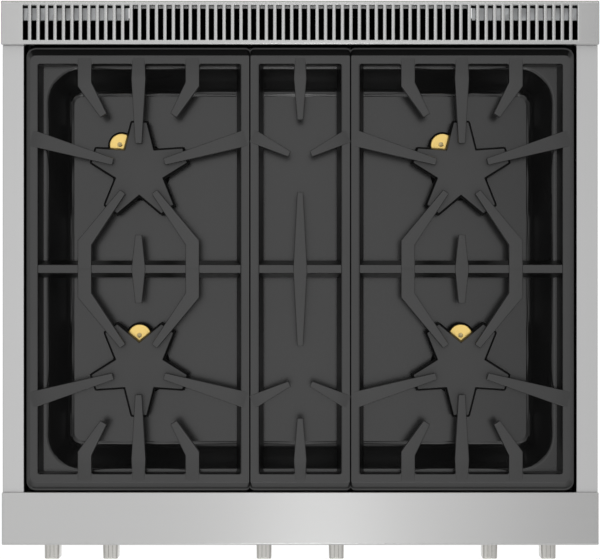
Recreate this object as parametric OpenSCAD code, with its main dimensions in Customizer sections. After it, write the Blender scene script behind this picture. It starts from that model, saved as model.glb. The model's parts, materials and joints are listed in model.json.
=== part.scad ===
// Commercial gas range, 30 inch class: four star burners, three cast grates, gas oven.
// Millimetres, +Z up, +Y towards the back, front of the range at -Y.
// The origin is on the floor, at the middle of the range's footprint.

/* [Overall] */
// Width across the vent trim and the landing ledge
range_w = 760; // [740:1:780]
// Height of the grate tops above the floor
cook_h = 912; // [904:1:924]
// Height of the chassis above the floor
leg_h = 100; // [92:1:110]
// Thickness of the sheet metal
sheet_t = 2; // [1.5:0.5:2.5]
// Running clearance round shafts
run_gap = 0.05; // [0.03:0.01:0.08]
// Gap between pieces that lift off and their seats
seat_gap = 0.3; // [0.2:0.1:0.5]

/* [Cooktop] */
// Depth of the vent trim at the back
vent_d = 55.6; // [52:0.2:60]
// Depth of the bay that holds the grates
bay_d = 570; // [560:0.2:576]
// Depth of the landing ledge
ledge_d = 66.8; // [62:0.2:72]
// Width of each side trim
trim_w = 27.9; // [25:0.1:31]
// Drop from the cooking surface to the side trims
trim_drop = 12; // [9:1:16]
// Rise of the landing ledge above the side trims
ledge_rise = 9; // [7:1:12]
// Rise of the vent trim above the side trims
vent_rise = 22; // [19:1:26]
// Radius of the ledge's front edge
ledge_r = 6; // [4:1:9]
// Radius of the vent trim's rear edge
vent_r = 3; // [2:0.5:6]

/* [Vent] */
// Number of slots in the vent trim
slot_n = 66; // [60:2:70]
// Spacing of the slots
slot_pitch = 10.74; // [10:0.02:10.8]
// Width of a slot
slot_w = 6.5; // [5:0.1:7]
// Length of a slot
slot_l = 44; // [38:1:46]
// Depth of the fins between the slots
fin_h = 22; // [16:1:26]
// Number of middle slots over the flue
flue_n = 40; // [30:2:44]

/* [Spill pan] */
// Drop from the cooking surface to the pan's flange
pan_drop = 50; // [46:1:56]
// Depth of the well
well_h = 40; // [34:1:46]
// Width of the flange from the bay's side to the well
flange_w = 27.6; // [24:0.1:32]
// Run of the well's sloping walls
well_run = 28; // [22:1:34]
// Corner radius at the top of the well
well_r = 41; // [34:1:46]
// Corner radius of the well's floor
well_floor_r = 12; // [8:1:16]

/* [Burners] */
// Distance of each burner from the middle line of the bay
burner_y = 126; // [120:1:132]
// Reach of a star cap's arms
star_tip = 64; // [58:1:68]
// Radius of a star cap's notches
star_notch = 34; // [32:1:38]
// Width of an arm's blunt tip
star_tip_w = 19.5; // [16:0.5:22]
// Thickness of a star cap
cap_t = 9; // [7:1:11]
// Drop from the cooking surface to the caps
cap_drop = 25; // [23:1:28]
// Radius of the brass igniter cup
cup_r = 15.4; // [14:0.2:16]
// Distance of the igniter cup from the burner's middle
cup_reach = 39.6; // [38:0.2:42]

/* [Grates] */
// Width of the centre grate
centre_w = 129.2; // [120:0.2:140]
// Gap between neighbouring grates
grate_gap = 1.2; // [1:0.1:2]
// Gap between the grates and the bay's walls
bay_gap = 1.6; // [1.2:0.1:2.5]
// Width of the bars' flat tops
bar_w = 10.2; // [8:0.2:12]
// Greatest width of a finger
finger_w = 17.6; // [15:0.2:20]
// Width of a finger's tip
finger_tip_w = 8.6; // [7:0.2:10]
// Depth of a finger
finger_h = 18; // [15:1:18]
// Radius of the ring that the long fingers' tips stand on
tip_ring = 34.2; // [32:0.2:38]
// Radius of the ring that the short fingers' tips stand on
short_ring = 82.6; // [78:0.2:88]

/* [Front] */
// How far the ledge overhangs the control panel
overhang = 23; // [20:1:26]
// Height of the control panel
panel_h = 144; // [136:1:150]
// Reach of the knob tips past the ledge
knob_reach = 22; // [19:1:25]
// Radius of the knobs' skirts
knob_r = 29; // [26:1:31]
// Width of the knobs' grips
grip_w = 19.6; // [16:0.2:22]
// Distance of the two middle knobs from the middle
knob_x1 = 46.7; // [44:0.1:60]
// Distance of the inner side knobs from the middle
knob_x2 = 244.5; // [235:0.1:246]
// Distance of the outer side knobs from the middle
knob_x3 = 320; // [314:0.1:322]
// Height of the knobs below the ledge's top
knob_drop = 90; // [86:1:96]
// Radius of the valve stems
stem_r = 4; // [3.5:0.1:5]
// Push-in travel of the knobs
push = 3; // [2:0.5:3.5]

/* [Oven] */
// Distance from the body's side to the oven cavity
oven_side = 87; // [82:1:105]
// Height from the oven cavity's roof to the underside of the control panel
oven_head = 131; // [122:1:150]
// Depth of the oven cavity
oven_d = 440; // [420:1:460]
// Thickness of the insulation
wool_t = 34; // [26:1:38]
// Height of the oven floor above the chassis
oven_rise = 96; // [92:1:102]
// Radius of the racks' frame wires
rack_r = 3; // [2.5:0.1:3.5]
// Height of the lower rack above the oven floor
rack_low = 130; // [120:1:150]
// Height of the upper rack above the oven floor
rack_high = 265; // [250:1:280]
// Width of the broil burner
broil_w = 260; // [220:1:300]
// Depth of the broil burner
broil_d = 180; // [150:1:220]

/* [Door] */
// Thickness of the door
door_t = 42; // [38:1:46]
// Setback of the door's face from the control panel
door_back = 21.6; // [20:0.2:24]
// Radius of the handle bar
handle_r = 13; // [11:0.5:14]
// Finger gap behind the handle
finger_gap = 31; // [28:1:34]
// Width of the door window
window_w = 380; // [340:1:420]
// Height of the door window
window_h = 190; // [160:1:210]

/* [Legs] */
// Radius of the leg tubes
leg_r = 24; // [22:0.5:26]
// Radius of the feet's screwed columns
foot_r = 16; // [14:0.5:18]

/* [Hidden] */
$fn = 48;
// Places along Y, from the back to the front
total_d = vent_d + bay_d + ledge_d + knob_reach;
back_y = total_d / 2;
bay_back_y = back_y - vent_d;
mid_y = bay_back_y - bay_d / 2;
bay_front_y = bay_back_y - bay_d;
ledge_front_y = bay_front_y - ledge_d;
knob_tip_y = ledge_front_y - knob_reach;
panel_y = ledge_front_y + overhang;
door_y = panel_y + door_back;
door_back_y = door_y + door_t;
seal_t = 6;
frame_y = door_back_y + seal_t;
post_y = frame_y + sheet_t;
rear_y = back_y - 22;
// Gas regulator: size of its body, and its distance from the rear panel
reg_w = 48;
reg_h = 36;
reg_l = 60;
reg_back = 40;
// Side louvres: length, height, spacing, and distance from the rear panel
louvre_l = 80;
louvre_h = 6;
louvre_pitch = 16;
louvre_back = 60;
// Places along Z
side_z = cook_h - trim_drop;
ledge_z = side_z + ledge_rise;
vent_z = side_z + vent_rise;
flange_z = cook_h - pan_drop;
well_z = flange_z - well_h;
cap_z = cook_h - cap_drop;
panel_top_z = ledge_z - 28;
panel_z = panel_top_z - panel_h;
knob_z = ledge_z - knob_drop;
floor_z = leg_h + oven_rise;
oven_top_z = panel_z - oven_head;
oven_h = oven_top_z - floor_z;
door_z = leg_h + 18;
door_top_z = panel_z - 10;
// Half widths
half_w = range_w / 2;
side_x = half_w - 1;
inner_x = side_x - sheet_t;
oven_w = 2 * (inner_x - oven_side);
bay_x = side_x - trim_w + 1;
well_x = bay_x - flange_w;
well_y = bay_d / 2 - flange_w - 2;
// Grates
centre_x = centre_w / 2;
grate_in_x = centre_x + grate_gap;
grate_out_x = bay_x - bay_gap;
grate_y = bay_d / 2 - bay_gap;
grate_z = flange_z + seat_gap;
bar_top_z = cook_h - 1.5;
side_bevel = 5.6;
gap_bevel = 1;
end_bevel = 13;
side_draft = 4.6;
end_draft = 2;
cross_w = 11.5;
burner_x = (grate_in_x + gap_bevel + grate_out_x - side_bevel) / 2;
grate_bar_x = (grate_out_x - side_bevel - grate_in_x - gap_bevel) / 2 - bar_w;
centre_bar_x = centre_x - gap_bevel - bar_w;
bar_in_y = grate_y - end_bevel - bar_w;
limb_x = 68.6;
limb_knee = 33.5;
// Burners
head_gap = 1.2;
head_h = 24;
neck_r = 27;
spigot_r = 18;
cap_under_z = cap_z - cap_t;
cup_z = cap_under_z - 4;
tube_r = 5;
manifold_r = 11;
riser_r = 7;
inlet_x = -half_w + 130;
inlet_z = leg_h + 50;
inlet_r = 10.67;
bushing_r = 9;
manifold_y = frame_y - 29;
manifold_z = knob_z - 30;
// Knobs
bezel_t = 3;
skirt_t = 8;
knob_back_y = panel_y - bezel_t - push - 2;
knobs_x = [-knob_x3, -knob_x2, -knob_x1, knob_x1, knob_x2, knob_x3];
stem_in = 14;
// Legs and door
legs = [[-half_w + 50, frame_y + 40], [half_w - 50, frame_y + 40],
        [-half_w + 50, rear_y - 42], [half_w - 50, rear_y - 42]];
foot_h = 12;
door_w = 2 * side_x - 10;
hinge_y = door_back_y - 8;
hinge_z = door_z + 8;
hinge_r = 4;
hinge_x = oven_w / 2 + 24;
handle_z = door_top_z - 44;
handle_y = door_y - finger_gap - handle_r;
handle_l = door_w - 70;
window_z = floor_z + oven_h / 2 + 10;
flue_w = flue_n * slot_pitch;
rack_x = oven_w / 2 - 12;

// Block between two opposite corners
module block(low, high) translate(low) cube(high - low);

// Round bar from one point to another
module rod(from, to, r) {
    d = to - from;
    translate(from) rotate([0, acos(d.z / norm(d)), atan2(d.y, d.x)]) cylinder(h = norm(d), r = r);
}

// Round bar centred on x, y that stands from z0 to z1
module post(at, z0, z1, r) translate([at.x, at.y, z0]) cylinder(h = z1 - z0, r = r);

// Outline of a rectangle between two corners with one radius at each corner
module round_rect(low, high, r) {
    translate([low.x + r, low.y]) square([high.x - low.x - 2 * r, high.y - low.y]);
    translate([low.x, low.y + r]) square([high.x - low.x, high.y - low.y - 2 * r]);
    for (x = [low.x + r, high.x - r], y = [low.y + r, high.y - r]) translate([x, y]) circle(r);
}

// Thin rounded slab, used as the end of a sloping wall
module slab(low, high, r, z) translate([0, 0, z]) linear_extrude(0.5) round_rect(low, high, r);

// Profile in Y and Z carried along X, centred
module along_x(length) rotate([90, 0, 90]) linear_extrude(length, center = true) children();

// Outline of a limb that follows a path and has its own width at each point
function unit(v) = v / norm(v);
function heading(p, i) = unit((i > 0 ? unit(p[i] - p[i - 1]) : [0, 0])
    + (i < len(p) - 1 ? unit(p[i + 1] - p[i]) : [0, 0]));
function left_of(v) = [-v.y, v.x];
function limb(p, w) = concat(
    [for (i = [0 : len(p) - 1]) p[i] + left_of(heading(p, i)) * w[i] / 2],
    [for (i = [len(p) - 1 : -1 : 0]) p[i] - left_of(heading(p, i)) * w[i] / 2]);

// ---- Body ----

// Upright angle bar with its two legs against the outside, at a corner of the chassis
module corner_post(s, y0, y1, top) {
    face_y = y0 < 0 ? y0 : y1 - 3;
    block([min(s * inner_x, s * (inner_x - 34)), face_y, leg_h],
          [max(s * inner_x, s * (inner_x - 34)), face_y + 3, top]);
    block([min(s * inner_x, s * (inner_x - 3)), y0, leg_h], [max(s * inner_x, s * (inner_x - 3)), y1, top]);
}

module chassis_frame() color("gray") difference() {
    rail_top = flange_z - sheet_t;
    union() {
        block([-inner_x, post_y, leg_h], [inner_x, rear_y - sheet_t, leg_h + 3]);
        block([-inner_x, post_y, leg_h], [inner_x, post_y + 3, leg_h + 30]);
        block([-inner_x, post_y, panel_z - 34], [inner_x, post_y + 3, panel_z - 8]);
        for (s = [-1, 1]) {
            corner_post(s, post_y, post_y + 26, rail_top);
            corner_post(s, rear_y - sheet_t - 26, rear_y - sheet_t, rail_top);
            block([min(s * inner_x, s * (inner_x - 28)), post_y, rail_top - 3],
                  [max(s * inner_x, s * (inner_x - 28)), rear_y - sheet_t, rail_top]);
            block([min(s * inner_x, s * (inner_x - 3)), post_y, rail_top - 22],
                  [max(s * inner_x, s * (inner_x - 3)), rear_y - sheet_t, rail_top]);
            for (e = [-1, 1]) block([s * hinge_x + e * 8.5 - 3, hinge_y - 7, hinge_z - 7],
                [s * hinge_x + e * 8.5 + 3, post_y + 1, hinge_z + 3]);
        }
        for (p = legs) post(p, foot_h + seat_gap, leg_h + 1, leg_r);
    }
    for (p = legs) post(p, 0, leg_h - 3, foot_r + run_gap);
    rod([-half_w, hinge_y, hinge_z], [half_w, hinge_y, hinge_z], hinge_r + run_gap);
}

module side_panel(s) color("silver") difference() {
    union() {
        block([min(s * inner_x, s * side_x), frame_y - 4, leg_h],
              [max(s * inner_x, s * side_x), rear_y, side_z - 32]);
        block([min(s * inner_x, s * side_x), bay_back_y, side_z - 33],
              [max(s * inner_x, s * side_x), rear_y, side_z]);
    }
    for (n = [0 : 4]) translate([0, rear_y - louvre_back, leg_h + 60 + louvre_pitch * n])
        block([min(s * inner_x, s * side_x) - 1, -louvre_l, 0],
              [max(s * inner_x, s * side_x) + 1, 0, louvre_h]);
}

module back_panel() color("silver") difference() {
    union() {
        block([-inner_x, rear_y - sheet_t, leg_h], [inner_x, rear_y, side_z]);
        for (s = [-1, 1]) block([min(s * flue_w / 2, s * inner_x) + (s > 0 ? 4 : 0),
            rear_y - sheet_t, side_z - sheet_t], [max(s * flue_w / 2, s * inner_x) - (s > 0 ? 0 : 4),
            rear_y + 14, side_z]);
    }
    block([-flue_w / 2 - 4, rear_y - 5, oven_top_z + 30], [flue_w / 2 + 4, rear_y + 5, side_z + 5]);
    translate([inlet_x, rear_y, inlet_z]) rotate([90, 0, 0])
        cylinder(h = 10, r = inlet_r - 0.7 + seat_gap, center = true);
    translate([-inlet_x, rear_y, inlet_z]) rotate([90, 0, 0])
        cylinder(h = 10, r = bushing_r + 0.2, center = true);
    for (x = [-5 : 5], z = [0 : 2])
        block([x * 24 - 3, rear_y - 5, leg_h + 90 + 60 * z], [x * 24 + 3, rear_y + 5, leg_h + 130 + 60 * z]);
}

module kick_panel() color("silver") {
    block([-inner_x + 1, frame_y + 8, leg_h - 76], [inner_x - 1, frame_y + 8 + sheet_t, leg_h]);
    block([-inner_x + 1, frame_y + 8, leg_h - 76], [inner_x - 1, frame_y + 14, leg_h - 76 + sheet_t]);
    for (s = [-1, 1]) block([s * (inner_x - 2) - 1, frame_y + 8, leg_h - 76],
        [s * (inner_x - 2) + 1, frame_y + 22, leg_h]);
}

// ---- Cooktop ----

module control_panel() color("silver") difference() {
    union() {
        block([-side_x, panel_y, panel_z], [side_x, panel_y + sheet_t, panel_top_z]);
        block([-inner_x, panel_y, panel_z], [inner_x, frame_y, panel_z + sheet_t]);
        for (s = [-1, 1]) {
            block([min(s * inner_x, s * side_x), panel_y, panel_z],
                  [max(s * inner_x, s * side_x), frame_y - 4, side_z - 32]);
            block([min(s * inner_x, s * side_x), panel_y, panel_z],
                  [max(s * inner_x, s * side_x), bay_front_y, panel_top_z]);
        }
    }
    for (x = knobs_x) translate([x, panel_y, knob_z]) rotate([90, 0, 0])
        cylinder(h = 20, r = stem_r + 2, center = true);
}

module ledge_profile(inset) {
    low = panel_top_z + inset;
    front = ledge_front_y + inset;
    r = ledge_r - inset;
    translate([front, low]) square([bay_front_y - inset - front, ledge_z - inset - r - low]);
    translate([front + r, low]) square([bay_front_y - inset - front - r, ledge_z - inset - low]);
    translate([front + r, ledge_z - inset - r]) circle(r);
}

module landing_ledge() color("silver") {
    difference() {
        along_x(range_w) ledge_profile(0);
        along_x(range_w - 2 * sheet_t) ledge_profile(sheet_t);
        block([-inner_x, panel_y + sheet_t, panel_top_z - 1],
              [inner_x, bay_front_y - sheet_t, panel_top_z + sheet_t + 1]);
    }
    block([-inner_x, bay_front_y - sheet_t, flange_z], [inner_x, bay_front_y, panel_top_z + 1]);
}

module side_trim(s) color("silver") mirror([s > 0 ? 0 : 1, 0, 0]) {
    block([bay_x, bay_front_y, side_z - sheet_t], [side_x, bay_back_y, side_z]);
    block([bay_x, bay_front_y, flange_z], [bay_x + sheet_t, bay_back_y, side_z]);
    block([side_x - sheet_t, bay_front_y, side_z - 32], [side_x, bay_back_y, side_z]);
}

module vent_trim() color("silver") {
    difference() {
        along_x(range_w) {
            translate([bay_back_y, vent_z - fin_h]) square([vent_d, fin_h - vent_r]);
            translate([bay_back_y, vent_z - fin_h]) square([vent_d - vent_r, fin_h]);
            translate([back_y - vent_r, vent_z - vent_r]) circle(vent_r);
        }
        for (i = [0 : slot_n - 1]) {
            x = (i - (slot_n - 1) / 2) * slot_pitch;
            block([x - slot_w / 2, bay_back_y + (vent_d - slot_l) / 2, vent_z - fin_h - 1],
                  [x + slot_w / 2, bay_back_y + (vent_d + slot_l) / 2, vent_z + 1]);
        }
    }
    block([-bay_x, bay_back_y, flange_z], [bay_x, bay_back_y + sheet_t, vent_z - fin_h]);
}

// Upright flue behind the oven and the duct that leads to it from the slot in the oven's roof
module flue_box() color("lightgray") difference() {
    duct_y = frame_y + oven_d - 68;
    duct_top = oven_top_z + wool_t + 50;
    flue_low = oven_top_z + 34;
    union() {
        block([-flue_w / 2, bay_back_y + sheet_t, flue_low], [flue_w / 2, back_y - 3, vent_z - fin_h]);
        block([-70, duct_y, oven_top_z + sheet_t], [70, bay_back_y + sheet_t + 1, duct_top]);
    }
    block([-flue_w / 2 + sheet_t, bay_back_y + 2 * sheet_t, flue_low + sheet_t],
          [flue_w / 2 - sheet_t, back_y - 3 - sheet_t, vent_z]);
    block([-70 + sheet_t, duct_y + sheet_t, oven_top_z + 2 * sheet_t],
          [70 - sheet_t, bay_back_y + 12, duct_top - sheet_t]);
    block([-50, duct_y + 8, oven_top_z - 1], [50, duct_y + 38, oven_top_z + 10]);
}

module well(inset, z_top, z_low) hull() {
    slab([-well_x + inset, -well_y + inset], [well_x - inset, well_y - inset], well_r - inset, z_top - 0.5);
    slab([-well_x + well_run + inset, -well_y + well_run + inset],
         [well_x - well_run - inset, well_y - well_run - inset], well_floor_r - inset, z_low);
}

module spill_pan() color("dimgray") translate([0, mid_y, 0]) difference() {
    union() {
        block([-bay_x - 9, -bay_d / 2 - sheet_t, flange_z - sheet_t],
              [bay_x + 9, bay_d / 2 + sheet_t, flange_z]);
        well(-sheet_t, flange_z - 0.5, well_z - sheet_t);
    }
    well(0, flange_z + 1, well_z);
    for (s = [-1, 1], t = [-1, 1]) translate([s * burner_x, t * burner_y, well_z])
        cylinder(h = 20, r = neck_r + run_gap, center = true);
}

// ---- Burners ----

// Outline of a star with five blunt arms, the first one along +Y
function star(tip, notch, tip_w) = [for (k = [0 : 4], j = [-1, 1, 2])
    let (a = 90 + 72 * k, u = [cos(a), sin(a)])
    j < 2 ? u * tip + left_of(u) * j * tip_w / 2 : [cos(a + 36), sin(a + 36)] * notch];

// Places each burner's children: star arm to the back at the rear burners, to the front at the others
module at_burners() for (s = [-1, 1], t = [-1, 1]) at_burner(s, t) children();
module at_burner(s, t) translate([s * burner_x, mid_y + t * burner_y, 0]) rotate(t > 0 ? 0 : 180) children();

// Middle of the igniter cup, seen from its own burner
cup_at = cup_reach * [cos(126), sin(126)];
function cup_place(t) = t > 0 ? cup_at : cup_reach * [0, -1];
module at_cups() for (s = [-1, 1], t = [-1, 1]) at_burner(s, t) translate(concat(cup_place(t), 0)) children();

module burner_heads() color("#2b2b2b") for (s = [-1, 1], t = [-1, 1]) at_burner(s, t) difference() {
    union() {
        translate([0, 0, cap_under_z - head_gap - head_h]) linear_extrude(head_h)
            polygon(star(star_tip + 2, star_notch + 1, star_tip_w + 3));
        post([0, 0], well_z - 34, cap_under_z - head_gap - head_h + 1, neck_r);
        post([0, 0], well_z, well_z + 4, neck_r + 12);
        post(cup_place(t), cap_under_z - head_gap - head_h, cup_z - 7, cup_r + 2.2);
    }
    post([0, 0], cap_under_z - head_gap - 9, cap_under_z, spigot_r + 0.4);
    post([0, 0], well_z - 40, cap_under_z, 11);
    post(cup_place(t), cup_z - 7, cap_under_z, cup_r + 1.6);
    for (i = [0 : 9]) rotate(9 + 18 * i) block([-star_tip - 9, -1.1, cap_under_z - head_gap - 3],
        [star_tip + 9, 1.1, cap_under_z]);
}

module igniter_cups() color("#d9b960") at_cups() difference() {
    union() {
        post([0, 0], cup_z - 7, cup_z - 2, cup_r);
        post([0, 0], cup_z - 2, cup_z, cup_r - 1);
    }
    post([0, 0], cup_z - 8, cup_z + 1, 3.5);
}

module igniter_electrodes() color("#b9b49a") at_cups() {
    post([0, 0], cup_z - 7, cup_z + 2, 3.45);
    post([0, 0], cup_z + 2, cup_z + 3.4, 1.3);
}

module burner_cap(s, t) color("dimgray") at_burner(s, t) {
    translate([0, 0, cap_under_z]) linear_extrude(cap_t) polygon(star(star_tip, star_notch, star_tip_w));
    post([0, 0], cap_under_z - head_gap - 8, cap_under_z + 1, spigot_r);
    for (i = [0 : 4]) rotate(18 + 72 * i) block([star_notch - 12, -2, cap_under_z - head_gap + seat_gap],
        [star_notch - 6, 2, cap_under_z + 1]);
}

// ---- Grates ----

// Drafted frame of a grate between two corners, with its bevels at the left, right and ends
module grate_frame(low_x, high_x, left, right, corner_r) difference() {
    hull() {
        slab([low_x, -grate_y], [high_x, grate_y], corner_r, grate_z);
        slab([low_x, -grate_y], [high_x, grate_y], corner_r, grate_z + 3.5);
        slab([low_x + left, -grate_y + end_bevel], [high_x - right, grate_y - end_bevel],
             corner_r / 2, bar_top_z - 0.5);
    }
    hull() {
        slab([low_x + left + bar_w, -bar_in_y], [high_x - right - bar_w, bar_in_y], 3, bar_top_z);
        slab([low_x + left + bar_w + side_draft, -bar_in_y + end_draft],
             [high_x - right - bar_w - side_draft, bar_in_y - end_draft], 3, grate_z - 1);
    }
}

// Crossbar with drafted sides, from one side bar to the other
module crossbar(half_l) translate([0, 0, cook_h - 3]) along_x(2 * half_l) polygon([
    [-cross_w / 2, 0], [cross_w / 2, 0], [cross_w / 2 + 3.6, -25], [-cross_w / 2 - 3.6, -25]]);

module finger(path, widths) translate([0, 0, cook_h - finger_h]) linear_extrude(finger_h)
    polygon(limb(path, widths));

// Point on a ring round the rear burner of a grate
function ring(r, a) = [r * cos(a), burner_y + r * sin(a)];

module wide_grate() {
    grate_frame(grate_in_x - burner_x, grate_out_x - burner_x, gap_bevel, side_bevel, 8);
    crossbar(grate_bar_x + 3);
    finger([[0, -short_ring + burner_y], [0, 0], [0, short_ring - burner_y]],
           [finger_tip_w, finger_w, finger_tip_w]);
    for (s = [-1, 1]) scale_y(s) {
        finger([[0, bar_in_y + 6], [0, bar_in_y - 22], ring(tip_ring, 90)],
               [finger_w, finger_w, finger_tip_w]);
        for (t = [-1, 1]) mirror([t > 0 ? 0 : 1, 0]) {
            finger([[limb_x, bar_in_y + 6], [limb_x, bar_in_y - 28], ring(short_ring, 57.3)],
                   [finger_w, finger_w, finger_tip_w + 1]);
            finger([[grate_bar_x + 5, burner_y + 40], ring(tip_ring, 18)],
                   [finger_w + 3, finger_tip_w]);
            finger([[limb_x, -1], [limb_x, limb_knee], ring(tip_ring, -54)],
                   [finger_w - 1, finger_w - 1, finger_tip_w]);
        }
    }
}

// Mirrors the children towards the front when s is negative
module scale_y(s) mirror([0, s > 0 ? 0 : 1, 0]) children();

module grate_right() color("dimgray") translate([burner_x, mid_y, 0]) wide_grate();
module grate_left() color("dimgray") mirror([1, 0, 0]) translate([burner_x, mid_y, 0]) wide_grate();

module grate_centre() color("dimgray") translate([0, mid_y, 0]) {
    tip_w = finger_tip_w - 1;
    grate_frame(-centre_x, centre_x, gap_bevel, gap_bevel, 4);
    crossbar(centre_bar_x + 3);
    finger([[0, 28 - burner_y], [0, 0], [0, burner_y - 28]], [tip_w, finger_w, tip_w]);
    for (s = [-1, 1]) scale_y(s) {
        finger([[0, bar_in_y + 6], [0, bar_in_y - 14], [0, burner_y + 62.6]],
               [finger_w - 1, finger_w - 1, tip_w]);
        for (t = [-1, 1]) mirror([t > 0 ? 0 : 1, 0])
            finger([[centre_bar_x + 5, burner_y + 42], [13.6, burner_y + 20.3]], [finger_w, tip_w]);
    }
}

// ---- Gas parts ----

// Manifold across the front on two brackets, with the riser that feeds it from the regulator
module gas_manifold() color("#9a9a9a") {
    riser_x = -inner_x + 42;
    riser_y = rear_y - reg_back - reg_l / 3;
    rod([riser_x - 8, manifold_y, manifold_z], [-riser_x, manifold_y, manifold_z], manifold_r);
    rod([riser_x, manifold_y, manifold_z], [riser_x, riser_y, manifold_z], riser_r);
    rod([riser_x, riser_y, manifold_z], [riser_x, riser_y, inlet_z], riser_r);
    rod([riser_x, riser_y, inlet_z], [inlet_x - reg_w / 2, riser_y, inlet_z], riser_r);
    for (z = [inlet_z, manifold_z]) translate([riser_x, riser_y, z]) sphere(riser_r);
    for (x = [90 - half_w, half_w - 90]) block([x - 10, manifold_y - 2, panel_z + sheet_t],
        [x + 10, manifold_y + 2, manifold_z]);
}

module gas_regulator() color("#a8a8a8") {
    block([inlet_x - reg_w / 2, rear_y - reg_back - reg_l, inlet_z - reg_h / 2],
          [inlet_x + reg_w / 2, rear_y - reg_back, inlet_z + reg_h / 2]);
    post([inlet_x, rear_y - reg_back - reg_l / 2], inlet_z + reg_h / 2 - 1, inlet_z + reg_h / 2 + 22,
         reg_w / 2 - 4);
    rod([inlet_x, rear_y - reg_back - 1, inlet_z], [inlet_x, rear_y + 1, inlet_z], inlet_r - 0.7);
    rod([inlet_x, rear_y + 0.5, inlet_z], [inlet_x, back_y - 1.5, inlet_z], inlet_r);
}

module burner_valves() color("#c9a85a") for (i = [0, 1, 4, 5]) {
    x = knobs_x[i];
    difference() {
        union() {
            block([x - 13, panel_y + 12, knob_z - 13], [x + 13, manifold_y + 12, knob_z + 13]);
            post([x, manifold_y], manifold_z + manifold_r - 3, knob_z, 9);
        }
        rod([x, panel_y, knob_z], [x, panel_y + 40, knob_z], stem_r + run_gap);
        rod([x - 20, manifold_y, manifold_z], [x + 20, manifold_y, manifold_z], manifold_r + 0.2);
    }
}

module oven_controls() color("#8c8c8c") for (i = [2, 3]) {
    x = knobs_x[i];
    difference() {
        union() {
            block([x - 21, panel_y + 12, knob_z - 21], [x + 21, manifold_y + 6, knob_z + 21]);
            if (i == 2) post([x, manifold_y], manifold_z + manifold_r - 3, knob_z, 9);
        }
        rod([x, panel_y, knob_z], [x, panel_y + 40, knob_z], stem_r + run_gap);
        rod([x - 30, manifold_y, manifold_z], [x + 30, manifold_y, manifold_z], manifold_r + 0.2);
    }
}

// Supply tube from each burner valve to the throat under its burner
module burner_tubes() color("#c4c6c8") for (s = [-1, 1], t = [-1, 1]) {
    x0 = s * (t > 0 ? knob_x3 : knob_x2);
    x1 = s * burner_x;
    y1 = mid_y + t * burner_y;
    z = well_z - 44;
    start = manifold_y + 12;
    path = [[x0, start, knob_z], [x0, start + 12, knob_z], [x0, start + 12, z], [x0, y1, z], [x1, y1, z]];
    for (k = [0 : 3]) rod(path[k], path[k + 1], tube_r);
    for (k = [1 : 3]) translate(path[k]) sphere(tube_r);
    post([x1, y1], z - tube_r, well_z - 34, 9);
}

module spark_module() color("#3a3a3a") {
    z = oven_top_z + sheet_t + wool_t;
    x = oven_w / 2 - 75;
    block([x - 45, frame_y + 56, z], [x + 45, frame_y + 114, z + 2]);
    block([x - 35, frame_y + 60, z + 1], [x + 35, frame_y + 110, z + 34]);
    for (i = [0 : 3]) post([x - 26 + 17 * i, frame_y + 74], z + 33, z + 44, 4);
}

module cord_bushing() color("#202020") translate([-inlet_x, rear_y, inlet_z]) rotate([90, 0, 0])
    difference() {
        union() {
            translate([0, 0, -6]) cylinder(h = 6, r = bushing_r + 4);
            cylinder(h = sheet_t + 4, r = bushing_r);
        }
        cylinder(h = 30, r = 4.5, center = true);
    }

// ---- Knobs ----

module knob_bezels() color("silver") for (x = knobs_x) difference() {
    rod([x, panel_y, knob_z], [x, panel_y - bezel_t, knob_z], knob_r + 3);
    rod([x, panel_y + 1, knob_z], [x, panel_y - bezel_t - 1, knob_z], stem_r + 2);
}

module stem(i) color("#b0b0b0") {
    x = knobs_x[i - 1];
    rod([x, panel_y + 12 + 20, knob_z], [x, knob_back_y - stem_in, knob_z], stem_r);
}

module knob(i) color("silver") {
    x = knobs_x[i - 1];
    front = knob_back_y - skirt_t;
    difference() {
        union() {
            rod([x, knob_back_y, knob_z], [x, front, knob_z], knob_r);
            intersection() {
                rod([x, front + 2, knob_z], [x, knob_tip_y, knob_z], knob_r - 1);
                translate([x, 0, knob_z - 40]) linear_extrude(80) polygon([
                    [-grip_w / 2, front + 2], [-grip_w / 2, knob_tip_y + 5], [-grip_w / 2 + 3, knob_tip_y],
                    [grip_w / 2 - 3, knob_tip_y], [grip_w / 2, knob_tip_y + 5], [grip_w / 2, front + 2]]);
            }
        }
        rod([x, knob_back_y + 1, knob_z], [x, knob_back_y - stem_in - 1, knob_z], stem_r + run_gap);
    }
}

// ---- Oven ----

// Oven box with the face frame that carries it on the chassis
module oven_liner() color("#3c3f45") difference() {
    union() {
        block([-oven_w / 2 - sheet_t, frame_y, floor_z - sheet_t],
              [oven_w / 2 + sheet_t, frame_y + oven_d + sheet_t, oven_top_z + sheet_t]);
        block([-inner_x, frame_y, hinge_z + 10], [inner_x, frame_y + sheet_t, panel_z - 8]);
    }
    block([-oven_w / 2, frame_y - 1, floor_z], [oven_w / 2, frame_y + oven_d, oven_top_z]);
    block([-50, frame_y + oven_d - 60, oven_top_z - 1], [50, frame_y + oven_d - 30, oven_top_z + 5]);
    for (s = [-1, 1], i = [0 : 5]) translate([s * (oven_w / 2 - 80), frame_y + 80 + 50 * i, floor_z])
        block([-20, 0, -5], [20, 6, 5]);
}

module oven_insulation() color("#cfc9a8") difference() {
    x = oven_w / 2 + sheet_t;
    block([-x - wool_t, frame_y + sheet_t, floor_z - sheet_t],
          [x + wool_t, frame_y + oven_d + sheet_t + wool_t, oven_top_z + sheet_t + wool_t]);
    block([-x, frame_y, floor_z - 10], [x, frame_y + oven_d + sheet_t, oven_top_z + sheet_t]);
    block([-72, frame_y + oven_d - 70, oven_top_z - 5], [72, rear_y, oven_top_z + 60]);
}

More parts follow.
